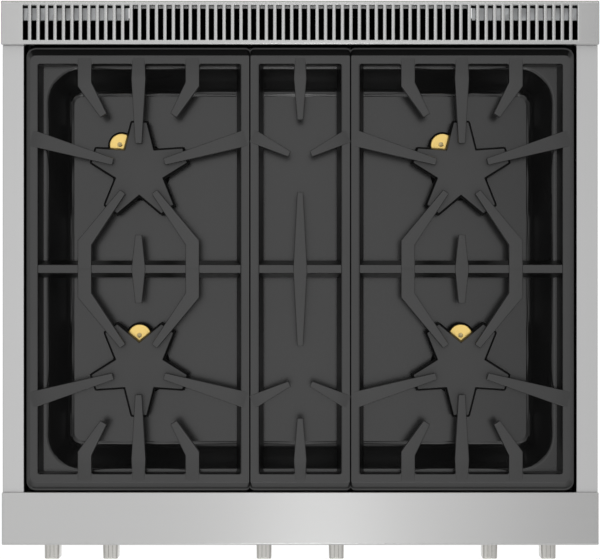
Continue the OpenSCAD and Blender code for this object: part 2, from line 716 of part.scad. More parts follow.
// Rack guides: two strips on each side wall that carry a runner for each rack
module rack_guides() color("silver") for (s = [-1, 1]) {
    wall_x = oven_w / 2;
    for (y = [40, oven_d - 44]) block([min(s * wall_x, s * (wall_x - 3)), frame_y + y, floor_z + 60],
        [max(s * wall_x, s * (wall_x - 3)), frame_y + y + 10, oven_top_z - 60]);
    for (h = [rack_low, rack_high]) {
        z = floor_z + h - 2 * rack_r - seat_gap;
        for (y = [40, oven_d - 44]) block([min(s * wall_x, s * (rack_x - 3)), frame_y + y, z - 5],
            [max(s * wall_x, s * (rack_x - 3)), frame_y + y + 10, z]);
        rod([s * rack_x, frame_y + 20, z], [s * rack_x, frame_y + oven_d - 20, z], rack_r);
    }
}

module oven_rack(h) color("silver") {
    z = floor_z + h;
    x = rack_x;
    y0 = frame_y + 18;
    y1 = frame_y + oven_d - 16;
    for (s = [-1, 1]) rod([s * x, y0, z], [s * x, y1, z], rack_r);
    for (y = [y0, (y0 + y1) / 2, y1]) rod([-x - rack_r, y, z], [x + rack_r, y, z], rack_r);
    for (i = [-8 : 8]) rod([i * x / 9, y0, z + 1], [i * x / 9, y1, z + 1], 1.8);
}

module bake_burner() color("#8d8f91") {
    rod([0, frame_y + 60, leg_h + 55], [0, frame_y + oven_d - 40, leg_h + 55], 16);
    block([-26, frame_y + 50, leg_h + 3], [26, frame_y + 62, leg_h + 60]);
    block([-26, frame_y + oven_d - 52, leg_h + 3], [26, frame_y + oven_d - 40, leg_h + 60]);
    block([-oven_w / 2 + 40, frame_y + 50, leg_h + 78], [oven_w / 2 - 40, frame_y + oven_d - 30, leg_h + 80]);
    for (s = [-1, 1], y = [60, oven_d - 50])
        post([s * (oven_w / 2 - 130), frame_y + y], leg_h + 3, leg_h + 79, 4);
}

module broil_burner() color("#8d8f91") difference() {
    y = frame_y + oven_d / 2 - 10;
    union() {
        block([-broil_w / 2, y - broil_d / 2, oven_top_z - 34],
              [broil_w / 2, y + broil_d / 2, oven_top_z - 10]);
        for (s = [-1, 1], t = [-1, 1])
            post([s * (broil_w / 2 - 10), y + t * (broil_d / 2 - 10)], oven_top_z - 20, oven_top_z, 4);
    }
    for (i = [0 : 10]) translate([-broil_w / 2 + 12 + (broil_w - 40) * i / 10, y, oven_top_z - 40])
        block([0, 12 - broil_d / 2, 0], [16, broil_d / 2 - 12, 14]);
}

// ---- Door ----

module door_gasket() color("#7d7d78") difference() {
    block([-oven_w / 2 - 16, frame_y - seal_t, floor_z - 16],
          [oven_w / 2 + 16, frame_y, oven_top_z + 16]);
    block([-oven_w / 2 - 6, frame_y - seal_t - 1, floor_z - 6],
          [oven_w / 2 + 6, frame_y + 1, oven_top_z + 6]);
}

module window_hole(y0, y1, grow) block([-window_w / 2 - grow, y0, window_z - window_h / 2 - grow],
    [window_w / 2 + grow, y1, window_z + window_h / 2 + grow]);

// Pocket at the door's foot for one hinge
module hinge_pocket(s) block([s * hinge_x - 14, hinge_y - 10, door_z - 1],
    [s * hinge_x + 14, door_back_y + 1, hinge_z + 34]);

module door_outer_panel() color("silver") difference() {
    block([-door_w / 2, door_y, door_z], [door_w / 2, door_back_y - 8, door_top_z]);
    block([-door_w / 2 + sheet_t, door_y + sheet_t, door_z + sheet_t],
          [door_w / 2 - sheet_t, door_back_y, door_top_z - sheet_t]);
    window_hole(door_y - 1, door_y + sheet_t + 1, 0);
    for (s = [-1, 1]) hinge_pocket(s);
}

// Inner skin with the plug that fills the oven's mouth and the frame round the window
module door_inner_panel() color("#44474d") difference() {
    plug = [oven_w / 2 + 26, oven_top_z + 26, floor_z - 26];
    union() {
        block([-door_w / 2 + 2, door_back_y - 8, door_z + 2],
              [door_w / 2 - 2, door_back_y - 8 + sheet_t, door_top_z - 2]);
        difference() {
            block([-plug.x, door_back_y - 8, plug.z], [plug.x, door_back_y - 0.3, plug.y]);
            block([-plug.x + sheet_t, door_back_y - 8 + sheet_t, plug.z + sheet_t],
                  [plug.x - sheet_t, door_back_y - 0.3 - sheet_t, plug.y - sheet_t]);
        }
        window_hole(door_y + sheet_t, door_back_y - 1, 3);
    }
    window_hole(door_y, door_back_y + 1, 0);
    for (s = [-1, 1]) hinge_pocket(s);
}

module door_glass() color("#23282c", 0.6) for (y = [door_y + sheet_t + 0.1, door_back_y - 14])
    block([-window_w / 2 + 0.3, y - 1.9, window_z - window_h / 2 + 0.3],
          [window_w / 2 - 0.3, y + 2.1, window_z + window_h / 2 - 0.3]);

module door_handle_bar() color("silver")
    rod([-handle_l / 2, handle_y, handle_z], [handle_l / 2, handle_y, handle_z], handle_r);

module door_handle_posts() color("silver") for (s = [-1, 1]) difference() {
    x = s * (handle_l / 2 - 40);
    block([x - 11, handle_y - 4, handle_z - 11], [x + 11, door_y, handle_z + 11]);
    rod([-handle_l, handle_y, handle_z], [handle_l, handle_y, handle_z], handle_r);
}

module door_hinges() color("#9b9b9b") for (s = [-1, 1]) {
    rod([s * hinge_x - 13, hinge_y, hinge_z], [s * hinge_x + 13, hinge_y, hinge_z], hinge_r);
    block([s * hinge_x - 4, hinge_y - 8, hinge_z - 5], [s * hinge_x + 4, hinge_y, hinge_z + 64]);
}

// ---- Levelling feet ----

module levelling_foot(i) color("#8f9194") {
    p = legs[i - 1];
    post(p, 0, foot_h - 4, leg_r + 3);
    post(p, foot_h - 5, foot_h, leg_r);
    post(p, foot_h - 1, leg_h - 20, foot_r);
}

chassis_frame();
side_panel(-1);  // side_panel_left
side_panel(1);  // side_panel_right
back_panel();
kick_panel();
control_panel();
landing_ledge();
side_trim(-1);  // side_trim_left
side_trim(1);  // side_trim_right
vent_trim();
flue_box();
spill_pan();
burner_heads();
igniter_cups();
igniter_electrodes();
burner_cap(-1, 1);  // burner_cap_rear_left
burner_cap(1, 1);  // burner_cap_rear_right
burner_cap(-1, -1);  // burner_cap_front_left
burner_cap(1, -1);  // burner_cap_front_right
grate_left();
grate_centre();
grate_right();
gas_manifold();
gas_regulator();
burner_valves();
oven_controls();
burner_tubes();
spark_module();
cord_bushing();
knob_bezels();
stem(1);  // stem_1
stem(2);  // stem_2
stem(3);  // stem_3
stem(4);  // stem_4
stem(5);  // stem_5
stem(6);  // stem_6
knob(1);  // knob_1
knob(2);  // knob_2
knob(3);  // knob_3
knob(4);  // knob_4
knob(5);  // knob_5
knob(6);  // knob_6
oven_liner();
oven_insulation();
rack_guides();
oven_rack(rack_low);  // oven_rack_lower
oven_rack(rack_high);  // oven_rack_upper
bake_burner();
broil_burner();
door_gasket();
door_outer_panel();
door_inner_panel();
door_glass();
door_handle_bar();
door_handle_posts();
door_hinges();
levelling_foot(1);  // levelling_foot_1
levelling_foot(2);  // levelling_foot_2
levelling_foot(3);  // levelling_foot_3
levelling_foot(4);  // levelling_foot_4
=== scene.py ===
import json
from math import pi, radians

import bmesh
import bpy
import numpy as np
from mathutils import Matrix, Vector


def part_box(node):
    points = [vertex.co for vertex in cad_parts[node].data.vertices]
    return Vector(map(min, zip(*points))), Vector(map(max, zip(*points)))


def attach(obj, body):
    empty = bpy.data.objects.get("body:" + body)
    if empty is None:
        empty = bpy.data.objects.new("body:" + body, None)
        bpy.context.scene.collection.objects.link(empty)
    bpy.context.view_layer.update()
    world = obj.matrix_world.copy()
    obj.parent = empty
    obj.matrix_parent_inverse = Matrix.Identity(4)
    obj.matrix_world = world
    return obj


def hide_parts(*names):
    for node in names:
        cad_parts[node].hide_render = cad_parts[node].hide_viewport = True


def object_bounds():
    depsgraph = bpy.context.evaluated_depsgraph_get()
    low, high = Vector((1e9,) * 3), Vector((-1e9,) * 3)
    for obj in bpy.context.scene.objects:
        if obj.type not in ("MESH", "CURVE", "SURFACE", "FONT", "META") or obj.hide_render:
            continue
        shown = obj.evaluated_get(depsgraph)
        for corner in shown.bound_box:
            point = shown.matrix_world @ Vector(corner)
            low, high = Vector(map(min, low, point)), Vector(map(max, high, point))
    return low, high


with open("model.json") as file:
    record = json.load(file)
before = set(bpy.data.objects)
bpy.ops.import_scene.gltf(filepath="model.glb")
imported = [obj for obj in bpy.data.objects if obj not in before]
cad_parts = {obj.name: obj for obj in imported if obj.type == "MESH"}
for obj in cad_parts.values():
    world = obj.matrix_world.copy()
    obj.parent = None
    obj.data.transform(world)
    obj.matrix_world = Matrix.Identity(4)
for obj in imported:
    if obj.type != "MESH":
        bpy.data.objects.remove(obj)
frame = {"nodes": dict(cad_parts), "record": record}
cadLow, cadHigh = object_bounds()
nodes = frame["nodes"]
bodyOf = {name: body for body, names in frame["record"]["behaviour"]["bodies"].items() for name in names}
slotOf = {part["node"]: part["material_slot"] for part in frame["record"]["subparts"]}
mm = 0.001


def extent(name):
    # lowest and highest corner of a CAD node, in millimetres
    low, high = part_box(name)
    return np.array(low) / mm, np.array(high) / mm


class Value:
    # wraps a socket, so that an expression on sockets adds its own Math nodes
    def __init__(self, finish, socket):
        self.finish, self.socket = finish, socket

    def mathNode(self, operation, first, second):
        return self.finish.node("ShaderNodeMath", {"operation": operation}, {0: first, 1: second})

    def __add__(self, other):
        return self.mathNode("ADD", self, other)

    def __radd__(self, other):
        return self.mathNode("ADD", other, self)

    def __mul__(self, other):
        return self.mathNode("MULTIPLY", self, other)

    def __rmul__(self, other):
        return self.mathNode("MULTIPLY", other, self)

    def __gt__(self, other):
        return self.mathNode("GREATER_THAN", self, other)

    def __lt__(self, other):
        return self.mathNode("LESS_THAN", self, other)


class Finish:
    def __init__(self, name, colour, roughness, metallic=0.0, **fixed):
        self.material = bpy.data.materials.new(name)
        self.material.use_nodes = True
        self.tree = self.material.node_tree
        self.shader = self.tree.nodes["Principled BSDF"]
        self.shader.inputs["Base Color"].default_value = (*colour, 1)
        self.shader.inputs["Roughness"].default_value = roughness
        self.shader.inputs["Metallic"].default_value = metallic
        for socket, value in fixed.items():
            self.shader.inputs[socket.replace("_", " ")].default_value = value

    def node(self, kind, settings=None, inputs=None, output=0):
        made = self.tree.nodes.new(kind)
        for key, value in (settings or {}).items():
            setattr(made, key, value)
        for key, value in (inputs or {}).items():
            if isinstance(value, Value):
                self.tree.links.new(value.socket, made.inputs[key])
            else:
                made.inputs[key].default_value = value
        return Value(self, made.outputs[output])

    def place(self):
        return self.node("ShaderNodeTexCoord", output="Object")

    def stretched(self, scale, turn=(0, 0, 0)):
        return self.node("ShaderNodeMapping", {}, {"Vector": self.place(), "Scale": scale, "Rotation": turn})

    def noise(self, vector, scale, detail=2.0, rough=0.5):
        return self.node("ShaderNodeTexNoise", {}, {"Vector": vector, "Scale": scale, "Detail": detail,
                                                    "Roughness": rough})

    def between(self, factor, first, second):
        # a colour between two others
        return self.node("ShaderNodeMix", {"data_type": "RGBA"},
                         {0: factor, 6: (*first, 1), 7: (*second, 1)}, output=2)

    def bump(self, height, distance, strength=1.0):
        return self.node("ShaderNodeBump", {}, {"Height": height, "Distance": distance, "Strength": strength})

    def drive(self, **links):
        for socket, value in links.items():
            self.tree.links.new(value.socket, self.shader.inputs[socket.replace("_", " ")])


brushing = {"along": 4, "across": 700, "coarser": 12, "fineShare": 0.6, "glossRange": 0.04, "bump": 0.5}


def brushed(name, colour, roughness, grain, depth=0.00002, streak=0.05, across=None):
    # steel with its grain along one axis: a noise squeezed across the grain drives colour, gloss and relief,
    # and a highlight spreads along across where that is given
    b = brushing
    made = Finish(name, colour, roughness, 1.0)
    squeeze = tuple(b["along"] if axis == grain else b["across"] for axis in "xyz")
    fine = made.noise(made.stretched(squeeze), 1.0, 3.0)
    broad = made.noise(made.stretched(tuple(s / b["coarser"] for s in squeeze)), 1.0, 2.0)
    tone = fine * b["fineShare"] + broad * (1 - b["fineShare"])
    dark, light = tuple(c * (1 - streak) for c in colour), tuple(min(1, c * (1 + streak)) for c in colour)
    made.drive(Base_Color=made.between(tone, dark, light),
               Roughness=roughness - b["glossRange"] / 2 + tone * b["glossRange"],
               Normal=made.bump(fine, depth, b["bump"]))
    if across:
        made.shader.inputs["Anisotropic"].default_value = 1.0
        made.drive(Tangent=made.node("ShaderNodeCombineXYZ", {}, dict(zip("XYZ", across))))
    return made


glaze = {"driftSize": 9.0, "glossLow": 0.85, "glossRange": 0.3, "bump": 0.6}


def blackEnamel(name, colour, roughness, peel, grainSize, ior):
    # vitreous enamel: a faint orange peel and slow drifts of gloss
    made = Finish(name, colour, roughness, IOR=ior)
    place = made.place()
    drift = made.noise(place, glaze["driftSize"], 3.0)
    made.drive(Roughness=roughness * glaze["glossLow"] + drift * roughness * glaze["glossRange"],
               Normal=made.bump(made.noise(place, grainSize, 3.0), peel, glaze["bump"]))
    return made


def grainy(name, colour, roughness, grainSize, detail, depth, strength, **fixed):
    # one colour with a fine grain in its relief
    made = Finish(name, colour, roughness, **fixed)
    made.drive(Normal=made.bump(made.noise(made.place(), grainSize, detail), depth, strength))
    return made


print("gas range: finishes")
stainlessTop = brushed("stainlessTop", (0.485, 0.485, 0.482), 0.25, "x", 0.00001, 0.03, (0.02, 0.72, 0.69))
stainlessSide = brushed("stainlessSide", (0.535, 0.535, 0.535), 0.30, "y", 0.00001, 0.03)
stainlessFront = brushed("stainlessFront", (0.62, 0.62, 0.615), 0.28, "x", 0.00001, 0.03)
knobSteel = brushed("knobSteel", (0.54, 0.53, 0.505), 0.26, "y")
grateIron = blackEnamel("grateIron", (0.003, 0.003, 0.003), 0.30, 0.00003, 900.0, 1.70)
capIron = blackEnamel("capIron", (0.004, 0.004, 0.004), 0.32, 0.00003, 700.0, 1.68)
panEnamel = blackEnamel("panEnamel", (0.014, 0.014, 0.014), 0.15, 0.00001, 160.0, 1.56)
burnerBlack = grainy("burnerBlack", (0.006, 0.006, 0.006), 0.75, 800.0, 3.0, 0.0001, 0.6, IOR=1.2)
# near-black finish for painted shade and painted shadow inside the vent
paintedShade = grainy("paintedShade", (0.004, 0.004, 0.004), 0.9, 500.0, 3.0, 0.0002, 0.6, IOR=1.1)

brassCup = Finish("brassCup", (0.90, 0.66, 0.26), 0.34, 1.0)
turning = brassCup.noise(brassCup.stretched((300, 300, 300)), 1.0, 2.0)
brassCup.drive(Roughness=turning * 0.16 + 0.28,
               Base_Color=brassCup.between(turning, (0.96, 0.67, 0.21), (1.0, 0.76, 0.28)))

ceramic = Finish("ceramic", (0.92, 0.75, 0.37), 0.35)
fired = ceramic.noise(ceramic.place(), 350.0, 3.0)
ceramic.drive(Base_Color=ceramic.between(fired, (0.88, 0.70, 0.32), (0.96, 0.80, 0.42)))

aluminised = brushed("aluminised", (0.52, 0.52, 0.52), 0.42, "y", 0.00003, 0.1)
gasPipe = Finish("gasPipe", (0.22, 0.22, 0.23), 0.45)
pitted = gasPipe.noise(gasPipe.place(), 260.0, 4.0)
gasPipe.drive(Base_Color=gasPipe.between(pitted, (0.16, 0.16, 0.17), (0.29, 0.29, 0.30)),
              Normal=gasPipe.bump(pitted, 0.0002, 0.4))

galvanised = Finish("galvanised", (0.52, 0.53, 0.54), 0.42, 0.9)
spangle = galvanised.node("ShaderNodeTexVoronoi", {}, {"Vector": galvanised.place(), "Scale": 70.0}, output=1)
crystal = galvanised.node("ShaderNodeSeparateColor", {}, {"Color": spangle})
galvanised.drive(Base_Color=galvanised.between(crystal, (0.56, 0.57, 0.58), (0.70, 0.71, 0.72)),
                 Roughness=crystal * 0.2 + 0.32)

ovenEnamel = Finish("ovenEnamel", (0.03, 0.034, 0.045), 0.22)
speck = ovenEnamel.node("ShaderNodeTexVoronoi", {}, {"Vector": ovenEnamel.place(), "Scale": 420.0})
fleck = (speck < 0.16) * (ovenEnamel.noise(ovenEnamel.place(), 300.0) > 0.52)
ovenEnamel.drive(Base_Color=ovenEnamel.between(fleck, (0.03, 0.034, 0.045), (0.42, 0.44, 0.47)),
                 Normal=ovenEnamel.bump(ovenEnamel.noise(ovenEnamel.place(), 140.0), 0.00005, 0.5))

wool = Finish("wool", (0.62, 0.56, 0.34), 0.95)
fibres = wool.noise(wool.stretched((60, 400, 120), (0.4, 0.2, 0.7)), 1.0, 6.0, 0.7)
wool.drive(Base_Color=wool.between(fibres, (0.42, 0.37, 0.20), (0.74, 0.69, 0.48)),
           Normal=wool.bump(fibres, 0.003))

rubber = grainy("rubber", (0.018, 0.018, 0.018), 0.7, 900.0, 2.0, 0.0001, 0.5)
plastic = grainy("plastic", (0.03, 0.03, 0.032), 0.5, 1100.0, 2.0, 0.0001, 0.5)

chrome = Finish("chrome", (0.78, 0.78, 0.80), 0.12, 1.0)
chrome.drive(Roughness=chrome.noise(chrome.place(), 40.0, 3.0) * 0.12 + 0.06)
footSteel = brushed("footSteel", (0.50, 0.50, 0.50), 0.36, "z", 0.00004, 0.08)

sealCord = Finish("sealCord", (0.20, 0.20, 0.19), 0.9)
braid = sealCord.node("ShaderNodeTexWave", {"bands_direction": "DIAGONAL"},
                      {"Vector": sealCord.place(), "Scale": 90.0, "Distortion": 1.0}, output=1)
sealCord.drive(Base_Color=sealCord.between(braid, (0.10, 0.10, 0.095), (0.32, 0.32, 0.30)),
               Normal=sealCord.bump(braid, 0.0008, 0.8))

windowGlass = Finish("windowGlass", (0.012, 0.013, 0.015), 0.04, IOR=1.5)
smear = windowGlass.noise(windowGlass.place(), 14.0, 4.0)
windowGlass.drive(Roughness=smear * 0.05 + 0.02)

# what a CAD node wears unless a piece replaces it
finishOf = {
    "stainless": stainlessFront, "galvanised": galvanised, "black_enamel": panEnamel,
    "oven_enamel": ovenEnamel, "burner_black": burnerBlack, "star_iron": capIron, "grate_iron": grateIron,
    "brass": brassCup, "electrode_ceramic": ceramic, "gas_pipe": gasPipe, "aluminised": aluminised,
    "black_plastic": plastic, "black_rubber": rubber, "knob_steel": knobSteel, "stem_steel": footSteel,
    "insulation_wool": wool, "rack_chrome": chrome, "seal_cord": sealCord, "window_glass": windowGlass,
    "foot_steel": footSteel}
for name, node in nodes.items():
    node.data.materials.clear()
    node.data.materials.append(finishOf[slotOf[name]].material)


# mesh kit: a surface is a grid of points, or a profile carried round an outline

def unit(v):
    return v / np.linalg.norm(v, axis=-1, keepdims=True)


def gridFaces(rows, cols, wrapRows=False):
    # quads between neighbouring points of a grid whose columns close into a ring
    r = np.arange(rows if wrapRows else rows - 1)[:, None]
    c = np.arange(cols)[None]
    up, along = (r + 1) % rows, (c + 1) % cols
    corners = [r * cols + c, r * cols + along, up * cols + along, up * cols + c]
    return np.stack(corners, -1).reshape(-1, 4).tolist()


def shell(grid, closed=False, capFirst=True, capLast=True):
    # rings stacked in order, with a flat cap at each end, or the last ring joined to the first
    rows, cols = grid.shape[:2]
    faces = gridFaces(rows, cols, closed)
    if capFirst and not closed:
        faces.append(list(range(cols))[::-1])
    if capLast and not closed:
        faces.append(list(range((rows - 1) * cols, rows * cols)))
    return grid.reshape(-1, 3), faces


def roundCorners(points, radii, steps=4):
    # each corner becomes an arc tangent to its two sides; the arc's centre lies on the bisector, as far away
    # as the radius over the sine of half the corner's angle
    p = np.asarray(points, float)
    r = np.broadcast_to(np.asarray(radii, float), len(p))
    a, b = unit(np.roll(p, 1, 0) - p), unit(np.roll(p, -1, 0) - p)
    half = 0.5 * np.arccos(np.clip((a * b).sum(1), -1, 1))
    centre = p + unit(a + b) * (r / np.sin(half))[:, None]
    reach = (r / np.tan(half))[:, None]
    first, last = p + a * reach - centre, p + b * reach - centre
    start = np.arctan2(first[:, 1], first[:, 0])
    sweep = np.arctan2(first[:, 0] * last[:, 1] - first[:, 1] * last[:, 0], (first * last).sum(1))
    angle = start[:, None] + sweep[:, None] * np.linspace(0, 1, steps + 1)
    arc = centre[:, None] + r[:, None, None] * np.stack([np.cos(angle), np.sin(angle)], -1)
    return arc.reshape(-1, 2)


def carry(points, radii, profile, steps=4):
    # each (inset, height) step moves the sharp outline in by mitred normals, then rounds it: an outer
    # corner's radius shrinks by the inset and an inner corner keeps its own, so every ring has as many points
    leastR = 0.15
    p = np.asarray(points, float)
    edge = unit(np.roll(p, -1, 0) - p)
    side = np.stack([edge[:, 1], -edge[:, 0]], 1)
    before, edgeBefore = np.roll(side, 1, 0), np.roll(edge, 1, 0)
    mitre = (side + before) / (1 + (side * before).sum(1, keepdims=True))
    bend = np.sign(edgeBefore[:, 0] * edge[:, 1] - edgeBefore[:, 1] * edge[:, 0])
    radii = np.broadcast_to(np.asarray(radii, float), len(p))
    rings = []
    for inset, height in profile:
        shrunk = np.maximum(radii - np.where(bend > 0, inset, 0), leastR)
        flat = roundCorners(p - mitre * inset, shrunk, steps)
        rings.append(np.column_stack([flat, np.full(len(flat), height)]))
    return np.stack(rings)


def rectangle(low, high):
    return [(low[0], low[1]), (high[0], low[1]), (high[0], high[1]), (low[0], high[1])]


def roundedWall(low, high, topR, lowR=0.0, draft=0.0, steps=3):
    # profile up a wall with a quarter round at its top and foot; draft is how far the top leans in
    a = np.linspace(0, pi / 2, steps + 1)
    foot = np.stack([lowR * (1 - np.sin(a)), low + lowR * (1 - np.cos(a))], 1) if lowR else [[0, low]]
    top = np.stack([draft + topR * (1 - np.cos(a)), high - topR * (1 - np.sin(a))], 1)
    return np.concatenate([foot, top, [[draft + topR + 0.4, high]]])


def ring(low, high, radii, z, steps=6):
    # rounded rectangle at one height; radii are its corner radii from front left round to rear left
    flat = roundCorners(rectangle(low, high), radii, steps)
    return np.column_stack([flat, np.full(len(flat), z)])


def lathe(profile, steps=64):
    # (radius, height) steps turned round the upright axis
    turn = np.linspace(0, 2 * pi, steps, endpoint=False)
    r, h = np.asarray(profile, float).T
    flat = r[:, None, None] * np.stack([np.cos(turn), np.sin(turn)], -1)[None]
    return np.concatenate([flat, np.broadcast_to(h[:, None, None], (len(r), steps, 1))], 2)


def mirrored(parts):
    # left for right, with the faces turned round so that they still point outwards
    return [(v * (-1, 1, 1), [f[::-1] for f in faces]) for v, faces in parts]


def moved(parts, offset):
    return [(v + offset, faces) for v, faces in parts]


def scaled(parts):
    # millimetres to metres
    return [(v * mm, faces) for v, faces in parts]


def facingFront(grid):
    # local x, y, height become X, Z and the way out of the front
    return np.stack([grid[..., 0], -grid[..., 2], grid[..., 1]], -1)


def facingRear(grid):
    # local x, y, height become -X, Z and the way out of the back
    return np.stack([-grid[..., 0], grid[..., 2], grid[..., 1]], -1)


def alongX(grid):
    # local x, y, height become Y, Z and X
    return np.stack([grid[..., 2], grid[..., 0], grid[..., 1]], -1)


def alongY(grid):
    # local x, y, height become Z, X and Y
    return np.stack([grid[..., 1], grid[..., 2], grid[..., 0]], -1)


def addPiece(name, parts, finish, body, replaced=(), thickness=None):
    # parts are (points, faces) pairs in millimetres, joined into one mesh
    vertices, faces, count = [], [], 0
    for v, f in scaled(parts):
        vertices.append(v)
        faces += [[i + count for i in face] for face in f]
        count += len(v)
    mesh = bpy.data.meshes.new(name)
    mesh.from_pydata(np.concatenate(vertices).tolist(), [], faces)
    mesh.validate()
    mesh.shade_smooth()
    mesh.set_sharp_from_angle(angle=radians(35))
    mesh.materials.append(finish.material)
    piece = bpy.data.objects.new(name, mesh)
    bpy.context.scene.collection.objects.link(piece)
    if thickness:
        wall = piece.modifiers.new("wall", "SOLIDIFY")
        wall.thickness, wall.offset, wall.use_even_offset = thickness * mm, -1, True
    # flats keep their own normal beside a small round
    flat = piece.modifiers.new("flat", "WEIGHTED_NORMAL")
    flat.keep_sharp, flat.weight = True, 100
    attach(piece, body)
    if replaced:
        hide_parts(*replaced)


def soften(name, width, finish=None):
    # a copy of a CAD node whose sharp edges get a small round
    mesh = nodes[name].data.copy()
    work = bmesh.new()
    work.from_mesh(mesh)
    bmesh.ops.remove_doubles(work, verts=work.verts, dist=1e-6)
    bmesh.ops.dissolve_limit(work, angle_limit=radians(0.5), verts=work.verts, edges=work.edges)
    work.to_mesh(mesh)
    work.free()
    mesh.shade_smooth()
    mesh.set_sharp_from_angle(angle=radians(30))
    mesh.materials.clear()
    mesh.materials.append((finish or finishOf[slotOf[name]]).material)
    piece = bpy.data.objects.new(name + "Soft", mesh)
    bpy.context.scene.collection.objects.link(piece)
    bevel = piece.modifiers.new("edge", "BEVEL")
    bevel.width, bevel.segments = width * mm, 2
    bevel.limit_method, bevel.angle_limit = "ANGLE", radians(35)
    bevel.harden_normals = True
    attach(piece, bodyOf[name])
    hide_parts(name)
    return piece


grateLow, grateHigh = extent("grate_right")
capLow, capHigh = extent("burner_cap_rear_right")
midY = (grateLow[1] + grateHigh[1]) / 2
cooktop = {"top": grateHigh[2], "flange": grateLow[2] - 0.3, "burnerX": (capLow[0] + capHigh[0]) / 2,
           "burnerY": 126.0}

# a bar is the width of its top, and how far its inner wall leans in
grate = {"outX": grateHigh[0] - 1.7, "inX": grateLow[0] - 1.3, "centreX": grateLow[0] - 2.1,
         "halfY": (grateHigh[1] - grateLow[1]) / 2 - 0.75, "shiftY": -0.3,
         "foot": cooktop["flange"] + 0.4, "rim": cooktop["top"] - 7.5, "barTop": cooktop["top"] - 1.5,
         "bar": (8.6, 5.6), "gapBar": (9.0, 7.4), "centreBar": (9.3, 6.6), "endBar": 8.7, "endSlope": 11.9,
         "sideBevel": 5.0, "gapBevel": 0.5, "endDraft": 2.0, "outerR": 12.0, "gapR": 5.5, "innerR": 2.4,
         "fingerW": 17.6, "tipW": 8.6, "fingerH": 18.0, "edge": 0.9, "endRoot": 6.6, "sideRoot": 7,
         "longRing": 34.2, "shortRing": 82.6, "gussetSpread": 2.8, "gussetReach": 2.8, "gussetH": 9,
         "crossHalf": 5.4, "crossDrop": 3, "crossH": 25, "crossRoot": 3}


def grateFrame(lowX, highX, left, right, leftR, rightR, leftBar, rightBar):
    # rings from the outer foot over the rim, the slope and the bar's top to the inner foot
    g, halfY, rim, barTop = grate, grate["halfY"], grate["rim"], grate["barTop"]
    # (step in at a side, step in at an end, height)
    outer = [(0.0, 0.0, g["foot"]), (0.0, 0.0, rim - 1.5), (0.12, 0.25, rim - 0.6), (0.4, 0.8, rim - 0.12),
             (0.6, 1.0, rim), (1.0, 2.8, rim + 0.06), (1.1, 3.1, rim + 0.3), (2.6, 7.0, rim + 2.8),
             (4.1, 10.6, barTop - 0.42), (4.6, 11.3, barTop - 0.1), (5.0, g["endSlope"], barTop)]
    rows = []
    for side, end, z in outer:
        shareL, shareR = side * left / g["sideBevel"], side * right / g["sideBevel"]
        radii = [max(0.6, r - side) for r in (leftR, rightR, rightR, leftR)]
        rows.append(ring((lowX + shareL, -halfY + end), (highX - shareR, halfY - end), radii, z))
    inX0, inX1 = lowX + left + leftBar[0], highX - right - rightBar[0]
    inY = halfY - g["endSlope"] - g["endBar"]
    # (share of the bar's lean, step out at an end, height)
    inner = [(0.0, 0.0, barTop), (0.11, 0.5, barTop - 0.15), (0.22, 0.95, barTop - 0.7),
             (0.32, 1.2, barTop - 1.8), (1.0, g["endDraft"], g["foot"])]
    for share, end, z in inner:
        low, high = (inX0 + leftBar[1] * share, -inY + end), (inX1 - rightBar[1] * share, inY - end)
        rows.append(ring(low, high, [g["innerR"]] * 4, z))
    return shell(np.stack(rows), closed=True)


def limb(path, widths, drops=None, tips=(True, True)):
    # sections across the path, mitred at its bends: the long edges and tips are rounded, and drops lower
    # the top
    p, w, fall = (np.array(values, float) for values in (path, widths, drops or [0.0] * len(path)))
    step = unit(np.diff(p, axis=0))
    before, after = np.concatenate([step[:1], step]), np.concatenate([step, step[-1:]])
    heading = unit(before + after)
    left = np.stack([-heading[:, 1], heading[:, 0]], 1) / (heading * after).sum(1, keepdims=True)
    edge, top, foot = grate["edge"], cooktop["top"], cooktop["top"] - grate["fingerH"]
    turn = np.linspace(0, pi / 2, 4)
    rows = []

    def section(at, across, half, drop, inset=0.0):
        sides = half - inset - edge * (1 - np.cos(turn))
        heights = top - drop - inset - edge * (1 - np.sin(turn))
        sides, heights = np.append(half - inset, sides), np.append(foot, heights)
        flat = at + across * np.concatenate([sides, -sides[::-1]])[:, None]
        rows.append(np.column_stack([flat, np.concatenate([heights, heights[::-1]])]))

    last = len(p) - 1
    for i in range(last + 1):
        away = -step[0] if i == 0 else step[-1]
        if i in (0, last) and tips[0 if i == 0 else 1]:
            for a in (turn[::-1] if i == 0 else turn):
                back, inset = edge * (1 - np.sin(a)), edge * (1 - np.cos(a))
                section(p[i] - away * back, left[i], w[i] / 2, fall[i], inset)
        else:
            section(p[i], left[i], w[i] / 2, fall[i])
    return shell(np.stack(rows))


def finger(path, widths, ramp=20.0):
    # a limb that rises from the bar's top over its ramp
    path = [np.array(p, float) for p in path]
    share = ramp / np.linalg.norm(path[1] - path[0])
    meet = path[0] + (path[1] - path[0]) * share
    widths = [widths[0], widths[0] + (widths[1] - widths[0]) * share] + list(widths[1:])
    drops = [cooktop["top"] - grate["barTop"] - 0.12] + [0.0] * len(path)
    return limb([path[0], meet] + path[1:], widths, drops, (False, True))


def gusset(at, heading, width):
    # small ramp on both sides of a finger where it leaves its bar
    spread, reach, top = grate["gussetSpread"], grate["gussetReach"], grate["barTop"]
    along, across = unit(np.array(heading, float)), unit(np.array([-heading[1], heading[0]], float))
    half, base = width / 2, np.array(at, float)
    points = [base + across * (half + spread) - along * 2, base - across * (half + spread) - along * 2,
              base - across * (half + spread), base - across * half + along * reach,
              base + across * half + along * reach, base + across * (half + spread)]
    points = np.array(points)
    area = np.sum(points[:, 0] * np.roll(points[:, 1], -1) - points[:, 1] * np.roll(points[:, 0], -1))
    points = points if area > 0 else points[::-1]
    return shell(carry(points, 0.3, roundedWall(top - grate["gussetH"], top - 0.15, 0.8), 1))


